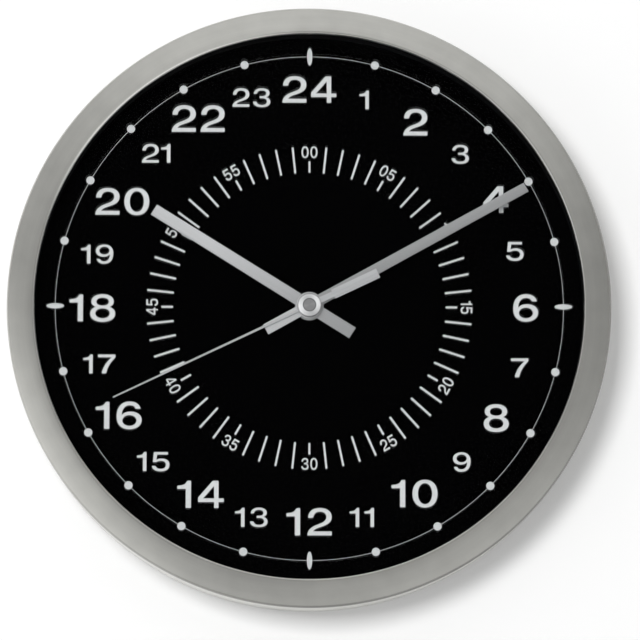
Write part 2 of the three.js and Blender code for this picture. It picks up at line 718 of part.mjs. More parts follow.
// Gear train. Depths run from the rear: intermediate, second, third, centre, motion and hour.
function hourWheel() {
  const module = gearModule(MOTION_SPACING, HOUR_TEETH, MOTION_PINION_LEAVES);
  const rear = layerRear(LAYER.hour);
  const disc = wheel(HOUR_TEETH, module, motionAxis.angle(), rear, layerFront(LAYER.hour));
  const tubeFront = hourHandRear + HAND_THICKNESS + STACK_GAP;
  const tube = rod(hourTubeRadius, rear, tubeFront, TUBE_FACETS);
  return cut(disc.add(tube), [rod(hourTubeBore, 0, caseDepth, TUBE_FACETS)]);
}

function cannonPinion() {
  const module = gearModule(MOTION_SPACING, MOTION_TEETH, CANNON_LEAVES);
  const leaves = pinion(CANNON_LEAVES, module, motionAxis.angle(), layerRear(LAYER.motion),
    layerFront(LAYER.motion));
  const sleeveRear = layerRear(LAYER.centre) - LAYER_GAP / 2;
  const tubeFront = minuteHandRear + HAND_THICKNESS + STACK_GAP;
  const tube = rod(minuteTubeRadius, sleeveRear, tubeFront, TUBE_FACETS);
  return cut(leaves.add(tube), [rod(minuteTubeBore, 0, caseDepth, TUBE_FACETS)]);
}

function centreWheel() {
  const module = gearModule(THIRD_SPACING, CENTRE_TEETH, THIRD_PINION_LEAVES);
  const rear = layerRear(LAYER.centre);
  const disc = wheel(CENTRE_TEETH, module, thirdAxis.angle(), rear, layerFront(LAYER.centre));
  return disc.subtract(rod(minuteTubeRadius + PRESS_GAP, 0, caseDepth, TUBE_FACETS));
}

// The clutch spring presses the centre wheel against the cannon pinion, so that the hands can
// be set without turning the train.
function clutchSpring() {
  const rear = layerFront(LAYER.centre) + STACK_GAP;
  const arms = toothedShape(3, CLUTCH_RADIUS / 2, CLUTCH_RADIUS, { root: 0.5, tip: 0.3 }, 0);
  const star = prism(arms, rear, rear + CLUTCH_THICKNESS);
  return star.subtract(rod(minuteTubeRadius + PRESS_GAP, 0, caseDepth, TUBE_FACETS));
}

function secondWheel() {
  const wheelModule = gearModule(INTERMEDIATE_SPACING, SECOND_TEETH, INTERMEDIATE_PINION_LEAVES);
  const pinionModule = gearModule(THIRD_SPACING, THIRD_TEETH, SECOND_PINION_LEAVES);
  const front = layerFront(LAYER.second);
  const disc = wheel(SECOND_TEETH, wheelModule, intermediateAxis.angle(), layerRear(LAYER.second), front);
  const leaves = pinion(SECOND_PINION_LEAVES, pinionModule, thirdAxis.angle(), front,
    layerFront(LAYER.third));
  const shaft = rod(SECOND_SHAFT_RADIUS, electricsDepth, hubRear + HUB_HEIGHT / 2, FINE_FACETS);
  const pivot = rod(PIVOT_RADIUS, coverPlateFront - PIVOT_LENGTH, front, FINE_FACETS);
  return join([disc, leaves, shaft, pivot]);
}

function thirdWheel() {
  const wheelModule = gearModule(THIRD_SPACING, THIRD_TEETH, SECOND_PINION_LEAVES);
  const pinionModule = gearModule(THIRD_SPACING, CENTRE_TEETH, THIRD_PINION_LEAVES);
  const towardsHands = thirdAxis.angle() + Math.PI;
  const front = layerFront(LAYER.third);
  const disc = wheel(THIRD_TEETH, wheelModule, towardsHands, layerRear(LAYER.third), front);
  const leaves = pinion(THIRD_PINION_LEAVES, pinionModule, towardsHands, front, layerFront(LAYER.centre));
  return join([disc, leaves, arbor(ARBOR_RADIUS)]);
}

function intermediateWheel() {
  const wheelModule = gearModule(ROTOR_SPACING, INTERMEDIATE_TEETH, ROTOR_LEAVES);
  const pinionModule = gearModule(INTERMEDIATE_SPACING, SECOND_TEETH, INTERMEDIATE_PINION_LEAVES);
  const towardsHands = intermediateAxis.angle() + Math.PI;
  const front = layerFront(LAYER.intermediate);
  const rear = layerRear(LAYER.intermediate);
  const disc = wheel(INTERMEDIATE_TEETH, wheelModule, radians(ROTOR_BEARING), rear, front);
  const leaves = pinion(INTERMEDIATE_PINION_LEAVES, pinionModule, towardsHands, front,
    layerFront(LAYER.second));
  return join([disc, leaves, arbor(ARBOR_RADIUS)]);
}

function rotor() {
  const module = gearModule(ROTOR_SPACING, INTERMEDIATE_TEETH, ROTOR_LEAVES);
  const towardsWheel = radians(ROTOR_BEARING) + Math.PI;
  const leaves = pinion(ROTOR_LEAVES, module, towardsWheel, magnetFront, layerFront(LAYER.intermediate));
  const magnet = rod(MAGNET_RADIUS, electricsDepth, magnetFront, TUBE_FACETS);
  return join([leaves, magnet, arbor(ARBOR_RADIUS)]);
}

// The motion wheel's arbor runs out through the cover to the setting knob.
function motionWheel() {
  const wheelModule = gearModule(MOTION_SPACING, MOTION_TEETH, CANNON_LEAVES);
  const pinionModule = gearModule(MOTION_SPACING, HOUR_TEETH, MOTION_PINION_LEAVES);
  const towardsHands = motionAxis.angle() + Math.PI;
  const front = layerFront(LAYER.motion);
  const disc = wheel(MOTION_TEETH, wheelModule, towardsHands, layerRear(LAYER.motion), front);
  const leaves = pinion(MOTION_PINION_LEAVES, pinionModule, towardsHands, front, layerFront(LAYER.hour));
  const arborRear = MOVEMENT_DEPTH - RUNNING_GAP - KNOB_GRIP;
  const shaft = rod(MOTION_ARBOR_RADIUS, arborRear, plateRear - RUNNING_GAP, FINE_FACETS);
  const pivot = rod(PIVOT_RADIUS, plateRear - OVERRUN, plateRear + PIVOT_LENGTH, FINE_FACETS);
  return join([disc, leaves, shaft, pivot]);
}

function settingKnob() {
  const front = MOVEMENT_DEPTH - RUNNING_GAP;
  const rear = front - KNOB_LENGTH;
  const flute = { root: 0.7, tip: 0.4 };
  const rim = toothedShape(KNOB_FLUTES, KNOB_RADIUS - KNOB_FLUTE_DEPTH, KNOB_RADIUS, flute, 0);
  const disc = prism(rim, rear, rear + KNOB_DISC);
  const neck = rod(KNOB_NECK_RADIUS, rear, front, ROD_FACETS);
  const boreRear = front - KNOB_GRIP - STACK_GAP;
  const bore = rod(MOTION_ARBOR_RADIUS + PRESS_GAP, boreRear, front + OVERRUN, FINE_FACETS);
  return disc.add(neck).subtract(bore);
}

// Stepping motor: the stator's band holds the rotor's magnet, and its two legs carry the coil.
function statorLeft() {
  return rotorAxis.x - MAGNET_RADIUS - MAGNET_AIR_GAP - STATOR_BAND - STATOR_SIDE;
}

function coilHeight() {
  return cavityTop - RUNNING_GAP - COIL_FLANGE_RADIUS;
}

function stator() {
  const left = statorLeft();
  const right = left + COIL_LENGTH;
  const hole = MAGNET_RADIUS + MAGNET_AIR_GAP;
  const bandBottom = rotorAxis.y - hole - STATOR_BAND;
  const bandTop = rotorAxis.y + hole + STATOR_BAND;
  const legTop = coilHeight() + COIL_FLANGE_RADIUS;
  const front = electricsDepth + STATOR_THICKNESS;
  const band = block(left, right, bandBottom, bandTop, electricsDepth, front);
  const legs = [left, right - STATOR_LEG].map((edge) => {
    return block(edge, edge + STATOR_LEG, bandBottom, legTop, electricsDepth, front);
  });
  return join([band, ...legs]).subtract(rod(hole, 0, caseDepth, TUBE_FACETS, rotorAxis));
}

function coil() {
  const end = COIL_LENGTH / 2;
  const flangeEnd = end - STATOR_LEG / 4;
  const windingEnd = flangeEnd - COIL_FLANGE;
  const half = [
    [COIL_RADIUS, windingEnd],
    [COIL_FLANGE_RADIUS, windingEnd],
    [COIL_FLANGE_RADIUS, flangeEnd],
    [COIL_CORE_RADIUS, flangeEnd],
    [COIL_CORE_RADIUS, end],
    [0, end],
  ];
  const mirrored = half.map(([radius, along]) => [radius, -along]).reverse();
  const body = revolve([...mirrored, ...half], ROD_FACETS).rotate([0, 90, 0]);
  const depth = electricsDepth + STATOR_THICKNESS + RUNNING_GAP + COIL_FLANGE_RADIUS;
  return body.translate([statorLeft() + end, coilHeight(), depth]);
}

// The board lies at the top left. Both contact strips end over it.
function boardEdges() {
  const left = -bayHalfLength + RUNNING_GAP;
  const top = cavityTop - RUNNING_GAP;
  return [left, left + BOARD_WIDTH, top - BOARD_HEIGHT, top];
}

function circuitBoard() {
  return block(...boardEdges(), electricsDepth, electricsDepth + BOARD_THICKNESS);
}

function crystalCan() {
  const [left, , , top] = boardEdges();
  const half = CRYSTAL_LENGTH / 2;
  const can = rod(CRYSTAL_RADIUS, -half, half, ROD_FACETS).rotate([0, 90, 0]);
  const depth = electricsDepth + BOARD_THICKNESS + STACK_GAP + CRYSTAL_RADIUS;
  return can.translate([left + BOARD_WIDTH / 3, top - 3 * CRYSTAL_RADIUS, depth]);
}

function contactRear() {
  return electricsDepth + BOARD_THICKNESS + RUNNING_GAP;
}

function contactFront() {
  return contactRear() + CONTACT_WIDTH;
}

// A contact bows inward until it meets the end of the cell. side is -1 on the left, 1 on the right.
function contactInBay(side) {
  const half = CONTACT_THICKNESS / 2;
  const flat = side * (bayHalfLength - RUNNING_GAP / 2 - half);
  const bowed = side * (CELL_LENGTH / 2 + RUNNING_GAP + half);
  const reach = 0.8 * CELL_RADIUS;
  return [
    new THREE.Vector2(flat, cellHeight - reach),
    new THREE.Vector2(bowed, cellHeight),
    new THREE.Vector2(flat, cellHeight + reach),
  ];
}

function negativeContact() {
  const inBay = contactInBay(-1);
  const [, , boardBottom] = boardEdges();
  const end = new THREE.Vector2(inBay[0].x, boardBottom + CONTACT_OVERLAP);
  return prism(ribbonShape([...inBay, end], CONTACT_THICKNESS), contactRear(), contactFront());
}

function positiveContact() {
  const inBay = contactInBay(1);
  const [boardLeft, , boardBottom] = boardEdges();
  const along = dividerTop + WHEEL_ROOM / 2;
  const turn = boardLeft + 2 * CONTACT_OVERLAP;
  const path = [
    ...inBay,
    new THREE.Vector2(inBay[0].x, along),
    new THREE.Vector2(turn, along),
    new THREE.Vector2(turn, boardBottom + CONTACT_OVERLAP),
  ];
  return prism(ribbonShape(path, CONTACT_THICKNESS / 2), contactRear(), contactFront());
}

function batteryCell() {
  const half = CELL_LENGTH / 2;
  const body = half - CELL_NUB_LENGTH;
  const r = CELL_RADIUS;
  const bottom = [[0, -half], [r - CELL_ROUND, -half], [r, CELL_ROUND - half]];
  const top = [[r, body - CELL_ROUND], [r - CELL_ROUND, body], [CELL_NUB_RADIUS, body]];
  const nub = [[CELL_NUB_RADIUS, half], [0, half]];
  const cell = revolve([...bottom, ...top, ...nub], HUB_FACETS).rotate([0, 90, 0]);
  return cell.translate([0, cellHeight, cellDepth]);
}

// Hands, drawn pointing up
function barHand(hand, rear, bore) {
  const tip = hand.tipWidth / 2;
  const tail = hand.tailWidth / 2;
  const shape = new THREE.Shape();
  shape.moveTo(-tail, -hand.tail);
  shape.lineTo(tail, -hand.tail);
  shape.lineTo(tip, hand.length);
  shape.lineTo(-tip, hand.length);
  const bar = prism(shape, rear, rear + HAND_THICKNESS);
  const hub = rod(hand.hub, rear, rear + HAND_THICKNESS, HUB_FACETS);
  return bar.add(hub).subtract(rod(bore + PRESS_GAP, 0, caseDepth, TUBE_FACETS));
}

function secondHand() {
  const front = secondHandRear + SECOND_HAND_THICKNESS;
  const needle = new THREE.Shape();
  needle.moveTo(-NEEDLE_WIDTH / 2, 0);
  needle.lineTo(NEEDLE_WIDTH / 2, 0);
  needle.lineTo(NEEDLE_TIP_WIDTH / 2, NEEDLE_LENGTH);
  needle.lineTo(-NEEDLE_TIP_WIDTH / 2, NEEDLE_LENGTH);
  const bodies = [
    prism(needle, secondHandRear, front),
    block(-NECK_WIDTH / 2, NECK_WIDTH / 2, -NECK_END - OVERRUN, 0, secondHandRear, front),
    block(-BLADE_WIDTH / 2, BLADE_WIDTH / 2, -BLADE_END, -NECK_END, secondHandRear, front),
    rod(SECOND_HAND_BOSS, secondHandRear, front, TUBE_FACETS),
  ];
  return join(bodies).subtract(rod(SECOND_SHAFT_RADIUS + PRESS_GAP, 0, caseDepth, FINE_FACETS));
}

function secondHandHub() {
  const front = hubRear + HUB_HEIGHT;
  const floor = front - HUB_CENTRE_RECESS;
  const shape = new THREE.Shape();
  shape.moveTo(0, hubRear);
  shape.lineTo(HUB_RADIUS, hubRear);
  shape.lineTo(HUB_RADIUS, hubRear + HUB_EDGE);
  shape.quadraticCurveTo(HUB_RADIUS, front, HUB_RADIUS - HUB_ROUND, front);
  shape.lineTo(HUB_CENTRE_RADIUS, front);
  shape.lineTo(HUB_CENTRE_RADIUS, floor);
  shape.lineTo(0, floor);
  const profile = shape.getPoints(CURVE_POINTS).map((point) => [point.x, point.y]);
  const bore = rod(SECOND_SHAFT_RADIUS + PRESS_GAP, 0, hubRear + HUB_HEIGHT / 2 + STACK_GAP, FINE_FACETS);
  return revolve(profile, HUB_FACETS).subtract(bore);
}

// Assembly
function caseGroup() {
  const group = new THREE.Group();
  group.add(
    piece('case_rim', caseRim(), aluminium()),
    piece('glass_lens', glassLens(), glass()),
    piece('spacer_ring', spacerRing(), blackPaint()),
    piece('dial_plate', dialPlate(), blackPaint()),
    piece('back_cover', backCover(), blackPlastic()),
    piece('hanger_plate', hangerPlate(), steel()),
    ...coverScrews(),
    ...hangerScrews(),
  );
  return group;
}

function movementGroup() {
  const group = new THREE.Group();
  group.add(
    piece('movement_base', movementBase(), blackPlastic()),
    piece('movement_cover', movementCover(), blackPlastic()),
    piece('centre_bushing', centreBushing(), brass()),
    piece('rubber_gasket', rubberGasket(), rubber()),
    piece('washer', washer(), brass()),
    piece('hex_nut', hexNut(), brass()),
    piece('hour_wheel', hourWheel(), ivoryPlastic()),
    piece('cannon_pinion', cannonPinion(), ivoryPlastic()),
    piece('centre_wheel', centreWheel(), ivoryPlastic()),
    piece('clutch_spring', clutchSpring(), steel()),
    piece('second_wheel', secondWheel(), steel()),
    piece('third_wheel', thirdWheel(), ivoryPlastic(), thirdAxis),
    piece('intermediate_wheel', intermediateWheel(), ivoryPlastic(), intermediateAxis),
    piece('rotor', rotor(), steel(), rotorAxis),
    piece('motion_wheel', motionWheel(), ivoryPlastic(), motionAxis),
    piece('setting_knob', settingKnob(), greyPlastic(), motionAxis),
    piece('stator', stator(), steel()),
    piece('coil', coil(), copper()),
    piece('circuit_board', circuitBoard(), board()),
    piece('crystal_can', crystalCan(), steel()),
    piece('negative_contact', negativeContact(), steel()),
    piece('positive_contact', positiveContact(), steel()),
    piece('battery_cell', batteryCell(), cellJacket()),
  );
  return group;
}

function handsGroup() {
  const group = new THREE.Group();
  const turn = (angle) => -radians(angle);
  const hour = barHand(HOUR_HAND, hourHandRear, hourTubeRadius);
  const minute = barHand(MINUTE_HAND, minuteHandRear, minuteTubeRadius);
  group.add(
    piece('hour_hand', hour, brushedHand(), handAxis, turn(HOUR_HAND.angle)),
    piece('minute_hand', minute, greyHand(), handAxis, turn(MINUTE_HAND.angle)),
    piece('second_hand', secondHand(), brushedHand(), handAxis, turn(SECOND_HAND_ANGLE)),
    piece('second_hand_hub', secondHandHub(), brushedHand(), handAxis, turn(SECOND_HAND_ANGLE)),
  );
  return group;
}

const clock = new THREE.Group();
clock.add(caseGroup(), movementGroup(), handsGroup());
clock.rotation.x = Math.PI / 2;
clock.position.z = -HANGER_HEIGHT;

export default clock;
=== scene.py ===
import json
import math

import bmesh
import bpy
from mathutils import Matrix, Vector

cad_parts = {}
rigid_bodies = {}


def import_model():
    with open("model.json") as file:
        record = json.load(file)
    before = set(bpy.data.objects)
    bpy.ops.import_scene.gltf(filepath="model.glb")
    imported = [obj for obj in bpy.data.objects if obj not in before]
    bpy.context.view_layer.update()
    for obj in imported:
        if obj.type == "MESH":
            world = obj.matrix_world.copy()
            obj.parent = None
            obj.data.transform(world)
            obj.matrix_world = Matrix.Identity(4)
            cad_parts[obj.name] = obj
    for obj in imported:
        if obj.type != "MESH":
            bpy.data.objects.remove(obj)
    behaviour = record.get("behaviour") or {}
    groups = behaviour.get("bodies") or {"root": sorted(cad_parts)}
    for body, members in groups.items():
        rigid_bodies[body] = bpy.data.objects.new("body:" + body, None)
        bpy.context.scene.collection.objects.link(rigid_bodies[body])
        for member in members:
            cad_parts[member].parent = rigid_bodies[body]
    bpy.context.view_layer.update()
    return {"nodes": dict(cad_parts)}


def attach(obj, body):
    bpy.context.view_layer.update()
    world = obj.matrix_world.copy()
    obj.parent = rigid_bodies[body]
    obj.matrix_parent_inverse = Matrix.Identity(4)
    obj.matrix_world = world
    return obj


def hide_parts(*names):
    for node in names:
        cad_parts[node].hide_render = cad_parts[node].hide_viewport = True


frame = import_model()

# Sizes in millimetres. Local places are x to the right, y up and depth forward from the wall,
# about the axis of the hands. The origin of the frame is the hanging point above that axis.
MM = 0.001
HANG_HEIGHT = 112.0
CLOCK = Matrix.Translation((0, 0, -HANG_HEIGHT * MM)) @ Matrix.Rotation(math.pi / 2, 4, "X")
ROUND = 360

# The rim: its opening, its lip, the slopes of its face, its rolled edges, the depths that divide its
# side, and the rib that holds the lens
OPENING = 136.0
CASE_RADIUS = 150.0
CASE_INNER = 148.0
LIP_CORNER = 42.27
LIP_ROUND = 1.5
LIP_REAR = 39.7
INNER_SLOPE = math.tan(math.radians(15))
OUTER_SLOPE = math.tan(math.radians(24))
EDGE_ROUND = 1.4
REAR_ROUND = 0.8
SIDE_RINGS = (8, 17, 26)
RIB_INNER = 139.8
RIB_OUTER = 141.3
RIB_REAR = 34.2

# What lies in the rim, from the front to the rear
LENS_RADIUS = 139.5
LENS_FRONT = 39.6
LENS_REAR = 37.6
LENS_EDGE = 0.4
SPACER_INNER = 136.5
SPACER_FRONT = 37.5
SPACER_REAR = 26.5
SPACER_EDGE = 0.3
DIAL_FRONT = 26.4
DIAL_REAR = 25.4
DIAL_BORE = 4.0
DIAL_EDGE = 0.15
COVER_FRONT = 5.0
COVER_REAR = 3.0

# The cover's screws and their bosses in the rim
SCREW_CIRCLE = 144.0
SCREW_COUNT = 6
FIRST_SCREW = 30
SCREW_RADIUS = 1.4
SCREW_CLEARANCE = 0.3
SCREW_BOSS = 4.0
BOSS_REAR = 5.1
BOSS_FRONT = RIB_REAR - 0.1
BOSS_HOLE_FRONT = 13.3

# The hub in front of the second hand
HUB_RADIUS = 6.0
HUB_RECESS = 3.3


# Materials
class Nodes:
    """A short way to write a node tree: a call adds one node and returns the output that is used."""

    def __init__(self, tree):
        self.tree = tree
        tree.nodes.clear()

    def add(self, kind, inputs=(), out=0, **settings):
        node = self.tree.nodes.new("ShaderNode" + kind)
        for key, value in settings.items():
            setattr(node, key, value)
        for key, value in dict(inputs).items():
            if isinstance(value, bpy.types.NodeSocket):
                self.tree.links.new(value, node.inputs[key])
            else:
                node.inputs[key].default_value = value
        return node.outputs[out] if len(node.outputs) else node

    def math(self, operation, a, b=0.0):
        return self.add("Math", {0: a, 1: b}, operation=operation)

    def mix(self, factor, a, b):
        return self.add("Mix", {0: factor, 6: a, 7: b}, out=2, data_type="RGBA")

    def spread(self, value, low, high, to_low, to_high):
        return self.add("MapRange", {0: value, 1: low, 2: high, 3: to_low, 4: to_high})

    def noise(self, vector, scale, detail=2.0, roughness=0.5):
        sockets = {"Vector": vector, "Scale": scale, "Detail": detail, "Roughness": roughness}
        return self.add("TexNoise", sockets)

    def scaled(self, vector, scale):
        return self.add("Mapping", {"Vector": vector, "Scale": scale})

    def place(self):
        """The object's own coordinates, in metres."""
        return self.add("TexCoord", out=3)

    def parts(self, vector):
        return self.add("SeparateXYZ", {0: vector}).node.outputs

    def flattened(self, vector):
        return self.add("VectorMath", {0: vector, 1: (1, 1, 0)}, operation="MULTIPLY")

    def length(self, vector):
        return self.add("VectorMath", {0: vector}, out=1, operation="LENGTH")

    def dot(self, vector, direction):
        return self.add("VectorMath", {0: vector, 1: direction}, out=1, operation="DOT_PRODUCT")

    def link(self, value, shader, socket):
        self.tree.links.new(value, shader.inputs[socket])


def shades(tone, share):
    """Two shades of a tone, darker and lighter by that share."""
    return [tuple(min(1.0, c * k) for c in tone) + (1.0,) for k in (1 - share, 1 + share)]


MATERIALS = {}


def principled(name, sockets):
    """A material with one Principled shader and constant values on its sockets, kept by its name."""
    mat = bpy.data.materials.new(name)
    mat.use_nodes = True
    n = Nodes(mat.node_tree)
    surface = n.add("BsdfPrincipled", sockets)
    n.add("OutputMaterial", {"Surface": surface})
    mat.diffuse_color = tuple(sockets["Base Color"])
    MATERIALS[name] = mat
    return n, surface.node


# The coarse noise of a grain is this many times as wide as the fine one
COARSE_TO_FINE = 7.0


def grain(n, shader, vector, tone, variation, roughness, roughness_range, bump, distance):
    """Colour, roughness and bump from one coarse and one fine noise along that vector."""
    dark, light = shades(tone, variation)
    coarse = n.noise(vector, 1.0, 3.0)
    fine = n.noise(vector, COARSE_TO_FINE, 4.0, 0.6)
    n.link(n.mix(n.spread(coarse, 0.3, 0.7, 0.0, 1.0), dark, light), shader, "Base Color")
    low, high = roughness - roughness_range, roughness + roughness_range
    n.link(n.spread(fine, 0.3, 0.7, low, high), shader, "Roughness")
    n.link(n.add("Bump", {"Strength": bump, "Distance": distance, "Height": fine}), shader, "Normal")


def cast(name, tone, roughness, metallic=0.0, cell=0.8, variation=0.08, bump=0.2, specular=0.5):
    """Moulded, cast, plated or painted: an even grain in all directions. cell is its size in mm."""
    sockets = {"Base Color": (*tone, 1), "Roughness": roughness, "Metallic": metallic,
               "Specular IOR Level": specular}
    n, shader = principled(name, sockets)
    vector = n.scaled(n.place(), (1 / (COARSE_TO_FINE * cell * MM),) * 3)
    grain(n, shader, vector, tone, variation, roughness, 0.06, bump, 0.05 * MM)


def multiply(n, shader, factor):
    """Multiplies the base colour of that shader by a grey factor."""
    base = shader.inputs["Base Color"]
    grey = n.add("CombineXYZ", {0: factor, 1: factor, 2: factor})
    sockets = {0: 1.0, 6: base.links[0].from_socket, 7: grey}
    product = n.add("Mix", sockets, out=2, data_type="RGBA", blend_type="MULTIPLY")
    n.link(product, shader, "Base Color")


# Painted light on the rim, and its mottling: the depth from which the painted shade line at its outer edge
# shows fully, the depth from which its lip is matt to show a highlight, two directions with the reach in
# metres over which a mark fades in along them, and how strong the marks are
SHADE_LINE_DEPTH = 34.5
LIP_HIGHLIGHT_DEPTH = 41.3
SHADE_SIDE, SHADE_SIDE_REACH = (0.77, -0.64, 0), (-0.05, 0.1)
HIGHLIGHT_SIDE, HIGHLIGHT_SIDE_REACH = (-0.616, 0.788, 0), (0.112, 0.134)
SHADE_LINE_STRENGTH = (0.22, 0.7)
LIP_HIGHLIGHT_PALER = 1.35
LIP_HIGHLIGHT_MATT = 0.7
MOTTLING = (0.95, 1.04)


def rim_marks(n, shader, place, flat, radius, depth):
    """The lip is painted paler all round as a highlight, and made matt at the upper left so that the lamp
    lights a highlight there. A painted shade line darkens the outer edge where the face rolls into the side,
    deepest at the lower right. A soft mottling lies over all."""
    # Painted shade: a darker line on the rolled outer edge, deepest at the lower right
    rolled = n.spread(radius, (CASE_RADIUS - 1.1) * MM, (CASE_RADIUS - 0.5) * MM, 0.0, 1.0)
    forward = n.spread(depth, (SHADE_LINE_DEPTH - 0.8) * MM, SHADE_LINE_DEPTH * MM, 0.0, 1.0)
    deep = n.spread(n.dot(flat, SHADE_SIDE), *SHADE_SIDE_REACH, *SHADE_LINE_STRENGTH)
    line = n.math("MULTIPLY", n.math("MULTIPLY", rolled, forward), deep)
    multiply(n, shader, n.math("SUBTRACT", 1.0, line))
    # Painted highlight: the lip is paler all round
    multiply(n, shader, n.spread(radius, (OPENING + 0.4) * MM, (OPENING + 1.0) * MM, LIP_HIGHLIGHT_PALER, 1.0))
    multiply(n, shader, n.spread(n.noise(place, 70.0, 3.0), 0.3, 0.7, *MOTTLING))
    # The lip is made matt at the upper left only, so that the lamp lights a highlight there
    lip = n.spread(radius, (OPENING + 0.9) * MM, (OPENING + 1.5) * MM, 1.0, 0.0)
    crest = n.spread(depth, (LIP_HIGHLIGHT_DEPTH - 0.5) * MM, LIP_HIGHLIGHT_DEPTH * MM, 0.0, 1.0)
    upper = n.spread(n.dot(flat, HIGHLIGHT_SIDE), *HIGHLIGHT_SIDE_REACH, 0.0, LIP_HIGHLIGHT_MATT)
    matt = n.math("MULTIPLY", n.math("MULTIPLY", lip, crest), upper)
    n.link(n.math("SUBTRACT", 1.0, matt), shader, "Metallic")


def turned(name, tone, roughness, pitch=0.35, variation=0.05, bump=0.12, marks=None):
    """Metal turned about the object's own Z axis: fine rings, and a soft drift round the ring."""
    n, shader = principled(name, {"Base Color": (*tone, 1), "Roughness": roughness, "Metallic": 1.0})
    place = n.place()
    x, y, depth = n.parts(place)
    flat = n.add("CombineXYZ", {0: x, 1: y})
    radius = n.length(flat)
    across = n.math("ADD", radius, n.math("MULTIPLY", depth, 0.7))
    rings = n.math("MULTIPLY", across, 1 / (COARSE_TO_FINE * pitch * MM))
    drift = n.math("MULTIPLY", n.noise(place, 25.0, 2.0), 0.6)
    vector = n.add("CombineXYZ", {0: n.math("ADD", rings, drift)})
    grain(n, shader, vector, tone, variation, roughness, 0.05, bump, 0.02 * MM)
    if marks:
        marks(n, shader, place, flat, radius, depth)


BRUSH_PITCH = 0.12
BRUSH_LENGTH = 6.0


def brushed(name, tone, roughness, painted_shade=None):
    """Satin metal brushed along the object's Y axis. The last argument, if given, is painted shade along Y:
    (from y, to y) in mm and the tone at from, darker towards from.
    """
    n, shader = principled(name, {"Base Color": (*tone, 1), "Roughness": roughness, "Metallic": 0.5})
    place = n.place()
    across = 1 / (COARSE_TO_FINE * BRUSH_PITCH * MM)
    along = 1 / (COARSE_TO_FINE * BRUSH_LENGTH * MM)
    vector = n.scaled(place, (across, along, across))
    grain(n, shader, vector, tone, 0.04, roughness, 0.05, 0.05, 0.01 * MM)
    # Painted shade: the hand darkens towards the from end
    if painted_shade:
        start, end, shaded_tone = painted_shade
        height = n.parts(place)[1]
        multiply(n, shader, n.spread(height, start * MM, end * MM, shaded_tone / tone[0], 1.0))


# Two opposite quarters of the hub are painted paler as a highlight, and one of them has its middle at this
# angle
HIGHLIGHT_TURN = math.radians(80)


def hub_metal(name, tones, roughness, metallic):
    """Turned metal. tones are (radius in mm, grey value) pairs. The painted highlight on two opposite
    quarters leaves out the recess.
    """
    sockets = {"Base Color": (0.6, 0.6, 0.6, 1), "Roughness": roughness, "Metallic": metallic}
    n, shader = principled(name, sockets)
    place = n.place()
    radius = n.length(n.flattened(place))
    ramp = n.add("ValToRGB", {0: n.math("MULTIPLY", radius, 1 / (HUB_RADIUS * MM))})
    elements = ramp.node.color_ramp.elements
    while len(elements) < len(tones):
        elements.new(0.5)
    for element, (at, tone) in zip(elements, tones):
        element.position = at / HUB_RADIUS
        element.color = (tone, tone * 1.01, tone * 1.02, 1)
    n.link(ramp, shader, "Base Color")
    fine = n.noise(n.scaled(place, (900, 900, 900)), 1.0, 3.0)
    x, y, _ = n.parts(place)
    # Painted highlight: two opposite quarters of the hub are paler
    around = n.math("SUBTRACT", n.math("ARCTAN2", y, x), HIGHLIGHT_TURN)
    highlight_lobes = n.math("COSINE", n.math("MULTIPLY", around, 2.0))
    painted_highlight = n.spread(n.math("ADD", highlight_lobes, n.math("MULTIPLY", fine, 0.3)), -1.0, 1.3, 0.55, 1.0)
    recess = n.spread(radius, HUB_RECESS * MM, (HUB_RECESS + 0.1) * MM, 0.85, 0.0)
    multiply(n, shader, n.math("MAXIMUM", painted_highlight, recess))
    n.link(n.spread(fine, 0.3, 0.7, roughness - 0.04, roughness + 0.04), shader, "Roughness")


def clear_glass(name):
    """Thin clear glass: it hides nothing behind it and keeps a faint gloss."""
    sockets = {"Base Color": (0.95, 0.985, 0.98, 1), "Roughness": 0.04, "Alpha": 0.04, "IOR": 1.5,
               "Transmission Weight": 1.0}
    n, shader = principled(name, sockets)
    smear = n.noise(n.scaled(n.place(), (40, 40, 40)), 1.0, 3.0)
    n.link(n.spread(smear, 0.35, 0.65, 0.02, 0.08), shader, "Roughness")


WRAP_BAND = (15 * MM, 18 * MM)
WRAP_INNER = 5.6 * MM


def cell_wrap(name):
    """A printed wrap with a pale band near the positive end, and bare steel at both ends."""
    sockets = {"Base Color": (0.1, 0.12, 0.14, 1), "Roughness": 0.3, "Metallic": 0.3}
    n, shader = principled(name, sockets)
    place = n.place()
    along = n.parts(place)[2]
    fine = n.noise(n.scaled(place, (300, 300, 300)), 1.0, 3.0)
    wrap = n.mix(fine, (0.055, 0.075, 0.10, 1), (0.065, 0.088, 0.118, 1))
    after, before = n.math("GREATER_THAN", along, WRAP_BAND[0]), n.math("LESS_THAN", along, WRAP_BAND[1])
    banded = n.mix(n.math("MULTIPLY", after, before), wrap, (0.55, 0.56, 0.57, 1))
    inner = n.math("LESS_THAN", n.length(n.flattened(place)), WRAP_INNER)
    n.link(n.mix(inner, banded, (0.62, 0.62, 0.61, 1)), shader, "Base Color")
    n.link(n.spread(inner, 0.0, 1.0, 0.3, 1.0), shader, "Metallic")
    n.link(n.spread(fine, 0.3, 0.7, 0.24, 0.34), shader, "Roughness")


# Grey of the hub from its middle outward: recess, a painted shade line round it, the ring, polished and
# painted pale as a highlight, and the bevel, painted darker
HUB_GREYS_AND_PAINTED_LIGHT = [(0, 0.33), (2.95, 0.33), (3.1, 0.08), (3.25, 0.08),
             (3.4, 1.0), (5.3, 1.0), (5.7, 0.65), (HUB_RADIUS, 0.5)]

